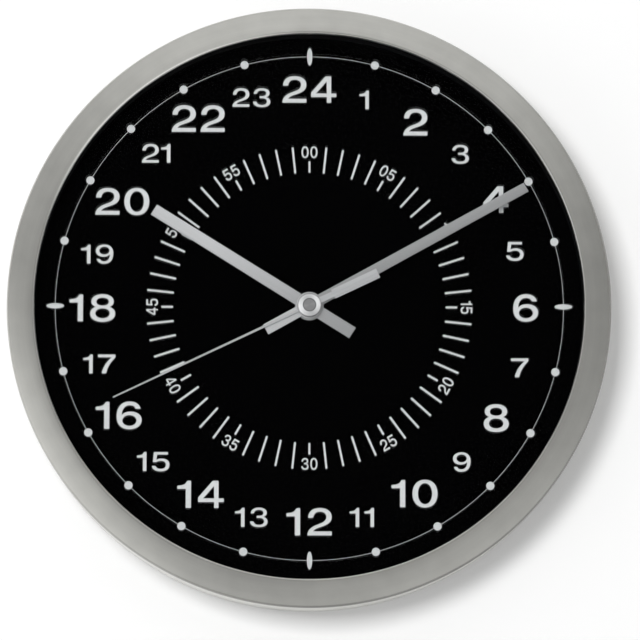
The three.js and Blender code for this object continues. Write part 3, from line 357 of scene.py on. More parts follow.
turned("rim_aluminium", (0.65, 0.647, 0.612), 0.33, variation=0.03, bump=0.05, marks=rim_marks)
cast("dial_black", (0.0002, 0.0002, 0.00025), 0.8, cell=0.3, bump=0.05, specular=0.0)
cast("spacer_black", (0.004, 0.004, 0.0044), 0.6, cell=0.5, bump=0.2, specular=0.1)
cast("black_plastic", (0.018, 0.0185, 0.02), 0.52, cell=0.35, bump=0.55)
cast("grey_plastic", (0.27, 0.29, 0.30), 0.45, cell=0.3, bump=0.3)
cast("ivory_plastic", (0.72, 0.68, 0.56), 0.4, cell=0.4, bump=0.12)
cast("steel", (0.56, 0.57, 0.58), 0.32, 1.0, cell=0.5, bump=0.12)
turned("brass", (0.62, 0.46, 0.18), 0.3)
cast("copper", (0.55, 0.22, 0.08), 0.35, 1.0, cell=0.15, bump=0.5)
cast("rubber", (0.012, 0.012, 0.012), 0.85, cell=0.4, bump=0.4)
cast("board", (0.035, 0.13, 0.055), 0.45, cell=0.6, bump=0.25)
# The hour and minute hands carry painted shade, darker towards their tails
brushed("hour_silver", (0.69, 0.70, 0.71), 0.36, painted_shade=(-22, 60, 0.44))
brushed("hand_silver", (0.59, 0.60, 0.61), 0.36)
brushed("hand_grey", (0.41, 0.416, 0.422), 0.38, painted_shade=(-4, 8, 0.67))
hub_metal("hub_silver", HUB_GREYS_AND_PAINTED_LIGHT, 0.22, 0.36)
cast("print_grey", (0.64, 0.66, 0.665), 0.7, cell=0.25, variation=0.04, bump=0.15, specular=0.2)
clear_glass("lens_glass")
cell_wrap("cell_wrap")


# Mesh helpers
def finish_piece(name, mesh, material, body, nodes=(), at=CLOCK, sharp=32):
    """Makes the piece, welds and turns its faces outward, and hands it to the frame."""
    bm = bmesh.new()
    bm.from_mesh(mesh)
    bmesh.ops.remove_doubles(bm, verts=bm.verts, dist=1e-7)
    bmesh.ops.recalc_face_normals(bm, faces=bm.faces)
    bm.to_mesh(mesh)
    bm.free()
    mesh.shade_smooth()
    mesh.set_sharp_from_angle(angle=math.radians(sharp))
    mesh.materials.clear()
    mesh.materials.append(MATERIALS[material])
    obj = bpy.data.objects.new(name, mesh)
    bpy.context.scene.collection.objects.link(obj)
    obj.matrix_world = at
    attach(obj, body)
    if nodes:
        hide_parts(*nodes)
    return obj


def closed(bm, name):
    """The mesh of that bmesh, with its faces turned outward."""
    bmesh.ops.recalc_face_normals(bm, faces=bm.faces)
    mesh = bpy.data.meshes.new(name)
    bm.to_mesh(mesh)
    bm.free()
    return mesh


def lathe(profile, segments=ROUND):
    """A closed profile of (radius, depth) points, turned about the local Z axis."""
    bm = bmesh.new()
    rings = []
    turns = [2 * math.pi * i / segments for i in range(segments)]
    for radius, depth in profile:
        ring = [(radius * math.cos(t) * MM, radius * math.sin(t) * MM, depth * MM) for t in turns]
        if radius < 1e-6:
            ring = [(0, 0, depth * MM)]
        rings.append([bm.verts.new(point) for point in ring])
    for a, b in zip(rings, rings[1:] + rings[:1]):
        if len(a) == 1 and len(b) == 1:
            continue
        for i in range(segments):
            j = (i + 1) % segments
            corners = [a[0]] if len(a) == 1 else [a[i], a[j]]
            corners += [b[0]] if len(b) == 1 else [b[j], b[i]]
            bm.faces.new(corners)
    return closed(bm, "lathe")


def loft(levels):
    """A solid through outlines with the same number of points. levels are (outline, depth) pairs."""
    bm = bmesh.new()
    rings = [[bm.verts.new((x * MM, y * MM, depth * MM)) for x, y in outline] for outline, depth in levels]
    for a, b in zip(rings, rings[1:]):
        for i in range(len(a)):
            j = (i + 1) % len(a)
            bm.faces.new((a[i], a[j], b[j], b[i]))
    bm.faces.new(rings[0])
    bm.faces.new(rings[-1])
    return closed(bm, "loft")


def prism(outline, rear, front):
    """A solid with that outline from the rear to the front depth."""
    return loft([(outline, rear), (outline, front)])


def rod(radius, rear, front, centre=(0, 0), segments=32):
    """A round prism, solid or to be cut as a bore."""
    return prism(circle(radius, centre, segments), rear, front)


def combined(base, joined=(), cut=()):
    """The base mesh with some meshes joined to it and others then cut from it."""
    linked = bpy.context.scene.collection.objects
    holder = bpy.data.objects.new("base", base)
    linked.link(holder)
    tools = []
    for mesh, operation in [(m, "UNION") for m in joined] + [(m, "DIFFERENCE") for m in cut]:
        tool = bpy.data.objects.new("tool", mesh)
        linked.link(tool)
        step = holder.modifiers.new("step", "BOOLEAN")
        step.operation = operation
        step.solver = "EXACT"
        step.object = tool
        tools.append(tool)
    graph = bpy.context.evaluated_depsgraph_get()
    result = bpy.data.meshes.new_from_object(holder.evaluated_get(graph), depsgraph=graph)
    for obj in [holder] + tools:
        bpy.data.objects.remove(obj)
    return result


def round_the_axis(mesh, radius, count, first):
    """Copies of the mesh at that radius, at even steps from that angle, anticlockwise from +X."""
    copies = []
    for i in range(count):
        copy = mesh.copy()
        turn = Matrix.Rotation(math.radians(first + i * 360 / count), 4, "Z")
        copy.transform(turn @ Matrix.Translation((radius * MM, 0, 0)))
        copies.append(copy)
    return copies


def curve_points(start, control, end, count):
    """A quadratic curve without its start point."""
    out = []
    for i in range(1, count + 1):
        t = i / count
        weights = ((1 - t) ** 2, 2 * t * (1 - t), t * t)
        out.append(tuple(sum(w * p[k] for w, p in zip(weights, (start, control, end))) for k in (0, 1)))
    return out


def rounded(points, radius, steps=4):
    """A closed outline whose corners are rounded. radius is one value, or one for each corner."""
    radii = radius if isinstance(radius, (list, tuple)) else [radius] * len(points)
    out = []
    for i, (point, r) in enumerate(zip(points, radii)):
        p, before, after = Vector(point), Vector(points[i - 1]), Vector(points[(i + 1) % len(points)])
        if r <= 0:
            out.append(tuple(p))
            continue
        to_before, to_after = (before - p), (after - p)
        reach = min(r, to_before.length * 0.45, to_after.length * 0.45)
        start, end = p + to_before.normalized() * reach, p + to_after.normalized() * reach
        out.append(tuple(start))
        out.extend(curve_points(start, p, end, steps))
    return out


def slab(contours, rear, front, bevel=0.0):
    """A flat solid from closed outlines in mm, with holes where one outline lies in another."""
    curve = bpy.data.curves.new("slab", "CURVE")
    curve.dimensions = "2D"
    curve.fill_mode = "BOTH"
    for points in contours:
        spline = curve.splines.new("POLY")
        spline.points.add(len(points) - 1)
        for target, (x, y) in zip(spline.points, points):
            target.co = (x * MM, y * MM, 0, 1)
        spline.use_cyclic_u = True
    curve.extrude = ((front - rear) / 2 - bevel) * MM
    if bevel:
        curve.bevel_depth = bevel * MM
        curve.bevel_resolution = 1
        curve.offset = -bevel * MM
    holder = bpy.data.objects.new("slab", curve)
    mesh = bpy.data.meshes.new_from_object(holder)
    bpy.data.objects.remove(holder)
    bpy.data.curves.remove(curve)
    mesh.transform(Matrix.Translation((0, 0, (front + rear) / 2 * MM)))
    return mesh


def circle(radius, centre=(0, 0), segments=96):
    turns = [2 * math.pi * i / segments for i in range(segments)]
    return [(centre[0] + radius * math.cos(t), centre[1] + radius * math.sin(t)) for t in turns]


def arc(radius, centre, start, sweep, steps):
    """Points of an arc, anticlockwise from +X by those angles in degrees."""
    turns = [math.radians(start + sweep * i / steps) for i in range(steps + 1)]
    return [(centre[0] + radius * math.cos(t), centre[1] + radius * math.sin(t)) for t in turns]


def box(left, right, bottom, top):
    """The corners of a rectangle, anticlockwise from its lower left."""
    return [(left, bottom), (right, bottom), (right, top), (left, top)]


def rectangle(left, right, bottom, top, corner=0.0):
    return rounded(box(left, right, bottom, top), corner, 5)


def clockwise(radius, degrees):
    """The place at that radius and that angle from the top of the dial."""
    angle = math.radians(degrees)
    return radius * math.sin(angle), radius * math.cos(angle)


def turned_outline(points, degrees, shift=(0, 0)):
    """The outline turned clockwise and then moved."""
    c, s = math.cos(math.radians(degrees)), math.sin(math.radians(degrees))
    return [(x * c + y * s + shift[0], y * c - x * s + shift[1]) for x, y in points]


def at_screws(mesh):
    """A copy of the mesh at each of the cover's screws."""
    return round_the_axis(mesh, SCREW_CIRCLE, SCREW_COUNT, FIRST_SCREW)


def clock_place(x, y, turn=0.0):
    """That place on the clock, turned anticlockwise by that angle."""
    return CLOCK @ Matrix.Translation((x * MM, y * MM, 0)) @ Matrix.Rotation(turn, 4, "Z")


# Rim, lens, spacer and dial
def rim_profile():
    """From the rear edge up the side, over the face and the lip, and back round the lens rib."""
    face_start = OPENING + LIP_ROUND
    face_end = CASE_RADIUS - EDGE_ROUND
    half_face = (face_end - face_start) / 2
    crest = LIP_CORNER - LIP_ROUND * INNER_SLOPE
    middle = crest - half_face * INNER_SLOPE
    shoulder = middle - half_face * OUTER_SLOPE
    side_top = shoulder - 2 * EDGE_ROUND
    edge = (CASE_RADIUS, shoulder - EDGE_ROUND * OUTER_SLOPE)

    points = [(CASE_INNER, 0), (CASE_RADIUS - REAR_ROUND, 0)]
    points += curve_points(points[-1], (CASE_RADIUS - 0.1, 0.1), (CASE_RADIUS, REAR_ROUND), 4)
    points += [(CASE_RADIUS, depth) for depth in (*SIDE_RINGS, side_top)]
    points += curve_points(points[-1], edge, (face_end, shoulder), 10)
    points += curve_points(points[-1], (face_start + half_face, middle), (face_start, crest), 24)
    points += curve_points(points[-1], (OPENING, LIP_CORNER), (OPENING, LIP_CORNER - LIP_ROUND), 10)
    points += [(OPENING, LIP_REAR), (RIB_INNER, LIP_REAR), (RIB_INNER, RIB_REAR), (RIB_OUTER, RIB_REAR)]
    return points + [(RIB_OUTER, LIP_REAR), (CASE_INNER, side_top)]


boss = [(SCREW_BOSS + 1, -SCREW_BOSS), (SCREW_BOSS + 1, SCREW_BOSS)] + arc(SCREW_BOSS, (0, 0), 90, 180, 20)
bosses = at_screws(prism(boss, BOSS_REAR, BOSS_FRONT))
boss_holes = at_screws(rod(SCREW_RADIUS + SCREW_CLEARANCE, COVER_REAR, BOSS_HOLE_FRONT))
rim = combined(lathe(rim_profile()), bosses, boss_holes)
finish_piece("rim", rim, "rim_aluminium", "case", ["case_rim"], sharp=50)

lens = rounded(box(0, LENS_RADIUS, LENS_REAR, LENS_FRONT), [0, LENS_EDGE, LENS_EDGE, 0], 3)
finish_piece("lens", lathe(lens), "lens_glass", "case", ["glass_lens"])

spacer = rounded(box(SPACER_INNER, LENS_RADIUS, SPACER_REAR, SPACER_FRONT), SPACER_EDGE, 3)
finish_piece("spacer", lathe(spacer), "spacer_black", "case", ["spacer_ring"])

dial = rounded(box(DIAL_BORE, LENS_RADIUS, DIAL_REAR, DIAL_FRONT), DIAL_EDGE, 2)
finish_piece("dial", lathe(dial), "dial_black", "case", ["dial_plate"])


# Print on the dial
PRINT_REAR = DIAL_FRONT - 0.02
PRINT_FRONT = DIAL_FRONT + 0.03
CIRCLE_RADIUS = 126.7
CIRCLE_HALF_WIDTH = 0.11
CIRCLE_MIDDLE = (0.2, 0.55)
TRACK_MIDDLE = (0.1, 0.15)

# Digits on a body 100 high: closed outlines of a start point, straight ends and cubic curves
DIGITS = {
    "0": [
        [(93, 50), (93, 19, 74.5, -1.5, 46.5, -1.5), (18.5, -1.5, 0, 19, 0, 50),
         (0, 81, 18.5, 101.5, 46.5, 101.5), (74.5, 101.5, 93, 81, 93, 50)],
        [(70.5, 50), (70.5, 28.5, 60.5, 13.5, 46.5, 13.5), (32.5, 13.5, 22.5, 28.5, 22.5, 50),
         (22.5, 71.5, 32.5, 86.5, 46.5, 86.5), (60.5, 86.5, 70.5, 71.5, 70.5, 50)],
    ],
    "1": [[(30, 0), (30, 68), (0, 68), (0, 82.5), (19.5, 82.5, 31.5, 87, 35.5, 100), (51.5, 100), (51.5, 0)]],
    "2": [
        [(2.5, 63), (3, 87.5, 18.5, 101, 46.5, 101), (73.5, 101, 90, 87, 90, 67.5),
         (90, 50.5, 79, 41.5, 60, 34), (44, 28, 30.5, 25, 24.5, 17), (90, 17), (90, 0),
         (0, 0), (0, 19.5, 11.5, 31, 32, 39.5), (50, 46.5, 68, 51.5, 68, 67.5),
         (68, 78.5, 59.5, 85, 47, 85), (32.5, 85, 24.5, 77, 23.5, 63)],
    ],
    "3": [
        [(4, 68), (5.5, 89.5, 22, 101, 47, 101), (72.5, 101, 89, 90, 89, 73.5),
         (89, 63, 83.5, 56.5, 74.5, 52.5), (86, 48.5, 93, 39.5, 93, 27.5),
         (93, 9.5, 75.5, -1.5, 47, -1.5), (20.5, -1.5, 1, 9.5, 0, 31), (21.5, 31),
         (23.5, 19, 33, 14, 47, 14), (61.5, 14, 71.5, 19, 71.5, 29), (71.5, 39.5, 63, 45, 50.5, 45),
         (34.5, 45), (34.5, 60), (48.5, 60), (60.5, 60, 68, 64, 68, 73.5),
         (68, 81, 60.5, 85.5, 47, 85.5), (33.5, 85.5, 25, 80, 23.5, 68)],
    ],
    "4": [
        [(57, 0), (57, 21), (0, 21), (0, 39.5), (52.5, 100), (75.5, 100), (75.5, 37), (94, 37),
         (94, 21), (75.5, 21), (75.5, 0)],
        [(57, 37), (57, 78), (21.5, 37)],
    ],
    "5": [
        [(85, 100), (85, 83.5), (30.5, 83.5), (27.5, 62.5), (34.5, 66, 42.5, 67.5, 51.5, 67.5),
         (77, 67.5, 93.5, 53.5, 93.5, 33.5), (93.5, 11.5, 75.5, -1.5, 46.5, -1.5),
         (20, -1.5, 1.5, 10.5, 0, 30), (22.5, 30), (25, 20, 33.5, 15, 46.5, 15),
         (62, 15, 71.5, 21.5, 71.5, 33.5), (71.5, 45.5, 62, 51.5, 49.5, 51.5),
         (39.5, 51.5, 32.5, 49.5, 26.5, 45.5), (5.5, 45.5), (11, 100)],
    ],
    "6": [
        [(89, 72.5), (85.5, 91, 70.5, 101.5, 48.5, 101.5), (15.5, 101.5, 0, 77.5, 0, 46),
         (0, 15.5, 18.5, -1.5, 47.5, -1.5), (73.5, -1.5, 93, 12.5, 93, 33), (93, 52.5, 75, 65, 53, 65),
         (36.5, 65, 26, 61, 21, 52.5), (22.5, 74, 32.5, 85, 48.5, 85), (59, 85, 66, 81.5, 68, 72.5)],
        [(71.5, 31.5), (71.5, 21.5, 60.5, 13.5, 47.5, 13.5), (34.5, 13.5, 23.5, 21.5, 23.5, 31.5),
         (23.5, 41.5, 34.5, 49.5, 47.5, 49.5), (60.5, 49.5, 71.5, 41.5, 71.5, 31.5)],
    ],
    "7": [
        [(0, 100), (91.5, 100), (91.5, 82.5), (67, 59, 49.5, 30, 45, 0), (18.5, 0),
         (22.5, 27, 38, 57.5, 67, 82.5), (0, 82.5)],
    ],
    "8": [
        [(46, 101.5), (71, 101.5, 87.5, 90, 87.5, 73.5), (87.5, 64, 82, 57.5, 74, 54),
         (86, 49.5, 93, 40, 93, 29), (93, 10.5, 74, -2, 46, -2), (18, -2, 0, 10.5, 0, 29),
         (0, 40, 6, 49.5, 18, 54), (10, 57.5, 4, 64, 4, 73.5), (4, 90, 21, 101.5, 46, 101.5)],
        [(67, 73), (67, 65, 59, 60, 46, 60), (33, 60, 25, 65, 25, 73),
         (25, 81, 33, 86, 46, 86), (59, 86, 67, 81, 67, 73)],
        [(70.5, 30.5), (70.5, 21, 60.5, 14, 46, 14), (31.5, 14, 21.5, 21, 21.5, 30.5),
         (21.5, 40.5, 31.5, 47, 46, 47), (60.5, 47, 70.5, 40.5, 70.5, 30.5)],
    ],
}
DIGIT_WIDTH = {"0": 93, "1": 51.5, "2": 90, "3": 93, "4": 94, "5": 93.5, "6": 93, "7": 91.5, "8": 93, "9": 93}


def traced(segments, steps=8):
    """The points of one outline: (x, y) is a straight end, and six numbers are a cubic curve."""
    points = [Vector(segments[0])]
    for s in segments[1:]:
        if len(s) == 2:
            points.append(Vector(s))
            continue
        a, b, c, d = points[-1], Vector(s[0:2]), Vector(s[2:4]), Vector(s[4:6])
        for i in range(1, steps + 1):
            t = i / steps
            u = 1 - t
            points.append(u ** 3 * a + 3 * u * u * t * b + 3 * u * t * t * c + t ** 3 * d)
    if (points[0] - points[-1]).length < 1e-4:
        points.pop()
    return [tuple(p) for p in points]


def digit(character):
    if character == "9":
        width = DIGIT_WIDTH["9"]
        return [[(width - x, 100 - y) for x, y in outline] for outline in digit("6")]
    return [traced(outline) for outline in DIGITS[character]]


def inset(points, distance):
    """The outline with its sides moved inward, or outward for a negative distance."""
    following = points[1:] + points[:1]
    turn = sum(a[0] * b[1] - a[1] * b[0] for a, b in zip(points, following))
    side = distance if turn > 0 else -distance
    out = []
    for before, point, after in zip([points[-1]] + points[:-1], points, following):
        arriving = (Vector(point) - Vector(before)).normalized()
        leaving = (Vector(after) - Vector(point)).normalized()
        first, second = arriving.orthogonal(), leaving.orthogonal()
        shift = (first + second) * side / max(0.5, 1 + first.dot(second))
        out.append((point[0] + shift.x, point[1] + shift.y))
    return out


def number(text, height, gaps, thinned, squeeze=1.0):
    """Outlines of a number, centred on its own middle. gaps are the spaces after each digit."""
    width = sum(DIGIT_WIDTH[c] * squeeze for c in text) + sum(gaps[c] for c in text[:-1])
    left = -width / 2
    outlines = []
    for c in text:
        for i, outline in enumerate(digit(c)):
            placed = [((left + x * squeeze) * height / 100, (y - 50) * height / 100) for x, y in outline]
            outlines.append(inset(placed, -thinned if i else thinned))
        left += DIGIT_WIDTH[c] * squeeze + gaps[c]
    return outlines


EVEN_HEIGHT = 13.84
ODD_HEIGHT = 9.82
HOUR_THINNED = 0.19
HOUR_GAPS = {**dict.fromkeys(DIGIT_WIDTH, 14.5), "1": 23}
GAPS_OF_21 = {**HOUR_GAPS, "2": 8}
NUMERAL_RING = 108.5
# How far each hour numeral stands off its even place on that ring, in mm to the right and up, in
# steps of half a millimetre
SET_OFF = {
    1: (-0.5, 0.5), 2: (-1, 0), 3: (-1, 1), 4: (-0.5, 0.5), 5: (-2, 0.5), 6: (-0.5, 0),
    7: (0, -2), 8: (-1, -1), 9: (-1, -0.5), 10: (-2, 1), 11: (-2, 0), 12: (0, 1.5),
    13: (-0.5, 0), 14: (0.5, 0.5), 15: (-0.5, -0.5), 16: (-0.5, 0), 17: (0.5, -0.5), 18: (0.5, -0.5),
    19: (-1, -1.5), 20: (0.5, -1), 21: (0, 1), 22: (-1.5, 1.5), 23: (-1, 1.5), 24: (0, 2),
}


def hour_numerals():
    outlines = []
    for hour, (right, up) in SET_OFF.items():
        height = ODD_HEIGHT if hour % 2 else EVEN_HEIGHT
        gaps = GAPS_OF_21 if hour == 21 else HOUR_GAPS
        x, y = clockwise(NUMERAL_RING, hour * 15)
        middle = (x + right, y + up)
        parts = number(str(hour), height, gaps, HOUR_THINNED)
        outlines += [turned_outline(o, 0, middle) for o in parts]
    return outlines


MINUTE_HEIGHT = 5.9
MINUTE_RADIUS = 78.4
MINUTE_SQUEEZE = 0.68
MINUTE_THINNED = 0.06
MINUTE_GAPS = dict.fromkeys(DIGIT_WIDTH, 12)


def minute_numerals():
    """Their tops point outward on the upper half of the dial, and inward on the lower half."""
    outlines = []
    for minute in range(0, 60, 5):
        angle = minute * 6
        turn = angle + 180 if 90 < angle < 270 else angle
        centre = Vector(clockwise(MINUTE_RADIUS, angle)) + Vector(TRACK_MIDDLE)
        parts = number("%02d" % minute, MINUTE_HEIGHT, MINUTE_GAPS, MINUTE_THINNED, MINUTE_SQUEEZE)
        outlines += [turned_outline(o, turn, centre) for o in parts]
    return outlines


# The minute track: where its bars start, and where they end at a numeral and elsewhere
BAR_START = 68
BAR_END_AT_NUMERAL = 73.7
BAR_END = 81.2
BAR_HALF_WIDTH = 0.49


def minute_track():
    outlines = []
    for minute in range(60):
        end = BAR_END_AT_NUMERAL if minute % 5 == 0 else BAR_END
        bar = box(-BAR_HALF_WIDTH, BAR_HALF_WIDTH, BAR_START, end)
        outlines.append(turned_outline(bar, minute * 6, TRACK_MIDDLE))
    return outlines


# Half widths and half heights of the ovals on the hour circle
QUARTER_MARK = (1.32, 4.42)
HOUR_MARK = (2.05, 2.05)


def hour_marks():
    outlines = []
    for hour in range(24):
        wide, tall = QUARTER_MARK if hour % 6 == 0 else HOUR_MARK
        oval = [(x * wide, y * tall) for x, y in circle(1, segments=40)]
        centre = Vector(clockwise(CIRCLE_RADIUS, hour * 15)) + Vector(CIRCLE_MIDDLE)
        outlines.append(turned_outline(oval, hour * 15, centre))
    return outlines


def printed(name, outlines):
    finish_piece(name, slab(outlines, PRINT_REAR, PRINT_FRONT), "print_grey", "case", sharp=20)


printed("hour_numerals", hour_numerals())
printed("minute_numerals", minute_numerals())
printed("minute_track", minute_track())
printed("hour_marks", hour_marks())
# The circle is printed a little thinner than the marks that lie across it
LINE_FRONT = PRINT_FRONT - 0.005
inside, outside = CIRCLE_RADIUS - CIRCLE_HALF_WIDTH, CIRCLE_RADIUS + CIRCLE_HALF_WIDTH
line = lathe(box(inside, outside, PRINT_REAR, LINE_FRONT))
line.transform(Matrix.Translation((CIRCLE_MIDDLE[0] * MM, CIRCLE_MIDDLE[1] * MM, 0)))
finish_piece("dial_circle", line, "print_grey", "case")

# Hands, each with the angle at which it points, clockwise from the top
HOUR_ANGLE = 302.0
MINUTE_ANGLE = 61.0
SECOND_ANGLE = 244.6
BAR_THICKNESS = 0.8
BAR_EDGE = 0.12


def hand_place(degrees):
    return clock_place(0, 0, -math.radians(degrees))


def bar_hand(name, body, degrees, material, length, tail, tip_width, tail_width,
             disc_radius, bore, rear):
    """A flat bar that tapers a little, with a disc under the hub."""
    tip, back = tip_width / 2, tail_width / 2

    def half_width(y):
        return back + (tip - back) * (y + tail) / (length + tail)

    def disc(sign):
        meet = math.asin(half_width(0) / disc_radius)
        turns = [meet + (math.pi - 2 * meet) * i / 24 for i in range(25)]
        return [(sign * disc_radius * math.sin(t), disc_radius * math.cos(t)) for t in turns]

    right = disc(1)
    left = disc(-1)[::-1]
    outline = [(tip, length)] + right + [(back, -tail), (-back, -tail)] + left + [(-tip, length)]
    mesh = slab([outline, circle(bore, segments=48)], rear, rear + BAR_THICKNESS, BAR_EDGE)
    finish_piece(name, mesh, material, body, [name.replace("bar", "hand")], hand_place(degrees), 25)


bar_hand("hour_bar", "hour", HOUR_ANGLE, "hour_silver", length=91.4, tail=25.3,
         tip_width=5.8, tail_width=6.2, disc_radius=7.1, bore=2.9, rear=30.8)
bar_hand("minute_bar", "minute", MINUTE_ANGLE, "hand_grey", length=123.7, tail=24.8,
         tip_width=5.0, tail_width=5.6, disc_radius=6.5, bore=1.75, rear=32.6)

# The second hand: (half width, distance up from the axis) of the needle's ends and of the neck's
# top, and the blade's half width and ends
NEEDLE_TIP = (0.35, 107.5)
NEEDLE_FOOT = (0.6, 4.96)
NECK_TOP = (1.5, -4.77)
BLADE_HALF_WIDTH = 2.5
BLADE_TOP = -13
BLADE_END = -37.8
SECOND_DISC = 5
SECOND_BORE = 0.85
SECOND_REAR = 34.4
SECOND_FRONT = 34.9
SECOND_EDGE = 0.06


def second_needle():
    right = [NEEDLE_TIP, NEEDLE_FOOT] + arc(SECOND_DISC, (0, 0), 83, -155, 16)
    right += [NECK_TOP, (NECK_TOP[0], BLADE_TOP)]
    right += [(BLADE_HALF_WIDTH, BLADE_TOP), (BLADE_HALF_WIDTH, BLADE_END)]
    outline = right + [(-x, y) for x, y in reversed(right)]
    mesh = slab([outline, circle(SECOND_BORE, segments=32)], SECOND_REAR, SECOND_FRONT, SECOND_EDGE)
    finish_piece("second_needle", mesh, "hand_silver", "second", ["second_hand"],
                 hand_place(SECOND_ANGLE), 25)


HUB_REAR = 35.0
HUB_BEVEL_REAR = 35.5
HUB_FRONT = 36.7
HUB_FLOOR = 36.4
HUB_FACE = 3.9
HUB_EDGE = 0.1
RECESS_EDGE = 0.06


def hub():
    """A disc with a rounded bevel and a flat recess in its face."""
    bevel = HUB_RADIUS - 0.08
    profile = [(0, HUB_REAR), (HUB_RADIUS - HUB_EDGE, HUB_REAR), (HUB_RADIUS, HUB_REAR + HUB_EDGE)]
    profile += [(HUB_RADIUS, HUB_BEVEL_REAR - HUB_EDGE), (bevel, HUB_BEVEL_REAR)]
    profile += curve_points(profile[-1], (bevel, HUB_FRONT), (HUB_FACE, HUB_FRONT), 12)
    profile += [(HUB_RECESS + RECESS_EDGE, HUB_FRONT), (HUB_RECESS, HUB_FRONT - RECESS_EDGE)]
    profile += [(HUB_RECESS, HUB_FLOOR), (0, HUB_FLOOR)]
    finish_piece("hub", lathe(profile, 128), "hub_silver", "second", ["second_hand_hub"],
                 hand_place(SECOND_ANGLE), 20)


second_needle()
hub()

# Back cover, screws and hanger. What stands on the cover's plate starts inside it, at its root, and
# what is cut through it starts below it. Boxes are (left, right, bottom, top).
COVER_RADIUS = 147.7
COVER_CHAMFER = 0.4
COVER_ROOT = 4
COVER_BELOW = 2
RING_WALL_INNER = 136.8
RING_WALL_OUTER = 138.8
RING_WALL_FRONT = 25.3
COLLAR_BOX = (-33, 33, -33, 33)
COLLAR_CORNER = 3
COLLAR_FRONT = 18
BAY_BOX = (-31, 31, -31, 31)
POCKET_BOX = (-9.5, 9.5, 91.5, 119)
POCKET_FRONT = 12.5
WINDOW_BOX = (-8, 8, 93, 117.5)
RIB_COUNT = 8
RIB_START = 32
RIB_END = 137.8
RIB_HALF_WIDTH = 0.8
RIB_FRONT = 12
HANGER_SCREWS = [(-17, 106.5), (17, 106.5)]
HANGER_SCREW_HOLE = 1.5
SLEEVE_RADIUS = 3.1
SLEEVE_FRONT = 11
SLEEVE_HOLE_FRONT = 10.3


def cut_box(sides, corner, lead, front):
    """What is cut out of the cover: a rounded box that widens by its lead towards the rear face."""
    left, right, bottom, top = sides
    wide = rectangle(left - lead, right + lead, bottom - lead, top + lead, corner + lead)
    narrow = rectangle(*sides, corner)
    return loft([(wide, COVER_REAR - 0.1), (narrow, COVER_REAR + lead), (narrow, front)])


def back_cover():
    """A plate with a ring wall behind the dial, a collar round the movement, a pocket behind the
    keyhole, ribs between the collar and the ring wall, and sleeves for the hanger's screws."""
    plate = [(0, COVER_REAR), (COVER_RADIUS - COVER_CHAMFER, COVER_REAR)]
    plate += [(COVER_RADIUS, COVER_REAR + COVER_CHAMFER), (COVER_RADIUS, COVER_FRONT)]
    plate += [(RING_WALL_OUTER, COVER_FRONT), (RING_WALL_OUTER, RING_WALL_FRONT)]
    plate += [(RING_WALL_INNER, RING_WALL_FRONT), (RING_WALL_INNER, COVER_FRONT), (0, COVER_FRONT)]
    turn = 360 / RIB_COUNT / 2
    rib_start = RIB_START / math.cos(math.radians(turn))
    rib = prism(rectangle(rib_start, RIB_END, -RIB_HALF_WIDTH, RIB_HALF_WIDTH), COVER_ROOT, RIB_FRONT)
    joined = [prism(rectangle(*COLLAR_BOX, COLLAR_CORNER), COVER_ROOT, COLLAR_FRONT)]
    joined += [prism(rectangle(*POCKET_BOX), COVER_ROOT, POCKET_FRONT)]
    joined += round_the_axis(rib, 0, RIB_COUNT, turn)
    joined += [rod(SLEEVE_RADIUS, COVER_ROOT, SLEEVE_FRONT, place) for place in HANGER_SCREWS]
    cut = [cut_box(BAY_BOX, corner=2, lead=0.6, front=25)]
    cut += [cut_box(WINDOW_BOX, corner=1, lead=0.4, front=11)]
    cut += [rod(HANGER_SCREW_HOLE, COVER_BELOW, SLEEVE_HOLE_FRONT, place) for place in HANGER_SCREWS]
    cut += at_screws(rod(SCREW_RADIUS + SCREW_CLEARANCE, COVER_BELOW, COVER_FRONT + 1))
    mesh = combined(lathe(plate), joined, cut)
    finish_piece("cover", mesh, "black_plastic", "case", ["back_cover"])


# Half widths of the cross recess, as shares of the head's radius, and its four quarters
RECESS_ARM = 0.15
RECESS_REACH = 0.6
QUARTERS = ((1, 0), (0, 1), (-1, 0), (0, -1))


def pan_screw(radius, head_radius, head_thickness, seat, tip):
    """A screw with a domed head, a cross recess and a pointed end."""
    rear = seat - head_thickness
    profile = [(0, rear)]
    profile += curve_points((0, rear), (0.85 * head_radius, rear), (head_radius, seat - 0.3), 8)
    profile += [(head_radius, seat), (radius, seat), (radius, tip - radius), (0, tip)]
    levels = []
    for depth, scale in ((rear - 0.1, 1.0), (rear + 0.55 * head_thickness, 0.6)):
        wide, long = RECESS_ARM * head_radius * scale, RECESS_REACH * head_radius * scale
        arm = [(wide, wide), (wide, long), (-wide, long)]
        cross = [(x * c - y * s, x * s + y * c) for c, s in QUARTERS for x, y in arm]
        levels.append((cross, depth))
    return combined(lathe(profile, 48), cut=[loft(levels)])


# In radians: how far each cover screw is turned on from the last, and the first hanger screw's turn
COVER_SCREW_TURN = 0.7
HANGER_SCREW_TURN = 1.4


def screws():
    cover_screw = pan_screw(SCREW_RADIUS, head_radius=3, head_thickness=1.8, seat=2.9, tip=13)
    for i in range(SCREW_COUNT):
        angle = math.radians(FIRST_SCREW + i * 360 / SCREW_COUNT)
        x, y = SCREW_CIRCLE * math.cos(angle), SCREW_CIRCLE * math.sin(angle)
        at = clock_place(x, y, COVER_SCREW_TURN * i)
        name, node = "case_screw_%d" % (i + 1), "cover_screw_%d" % (i + 1)
        finish_piece(name, cover_screw.copy(), "steel", "case", [node], at)
    hanger_screw = pan_screw(1.2, head_radius=2.4, head_thickness=1.2, seat=1.8, tip=10)
    for i, (x, y) in enumerate(HANGER_SCREWS):
        at = clock_place(x, y, HANGER_SCREW_TURN + i)
        name, node = "plate_screw_%d" % (i + 1), "hanger_screw_%d" % (i + 1)
        finish_piece(name, hanger_screw.copy(), "steel", "case", [node], at)


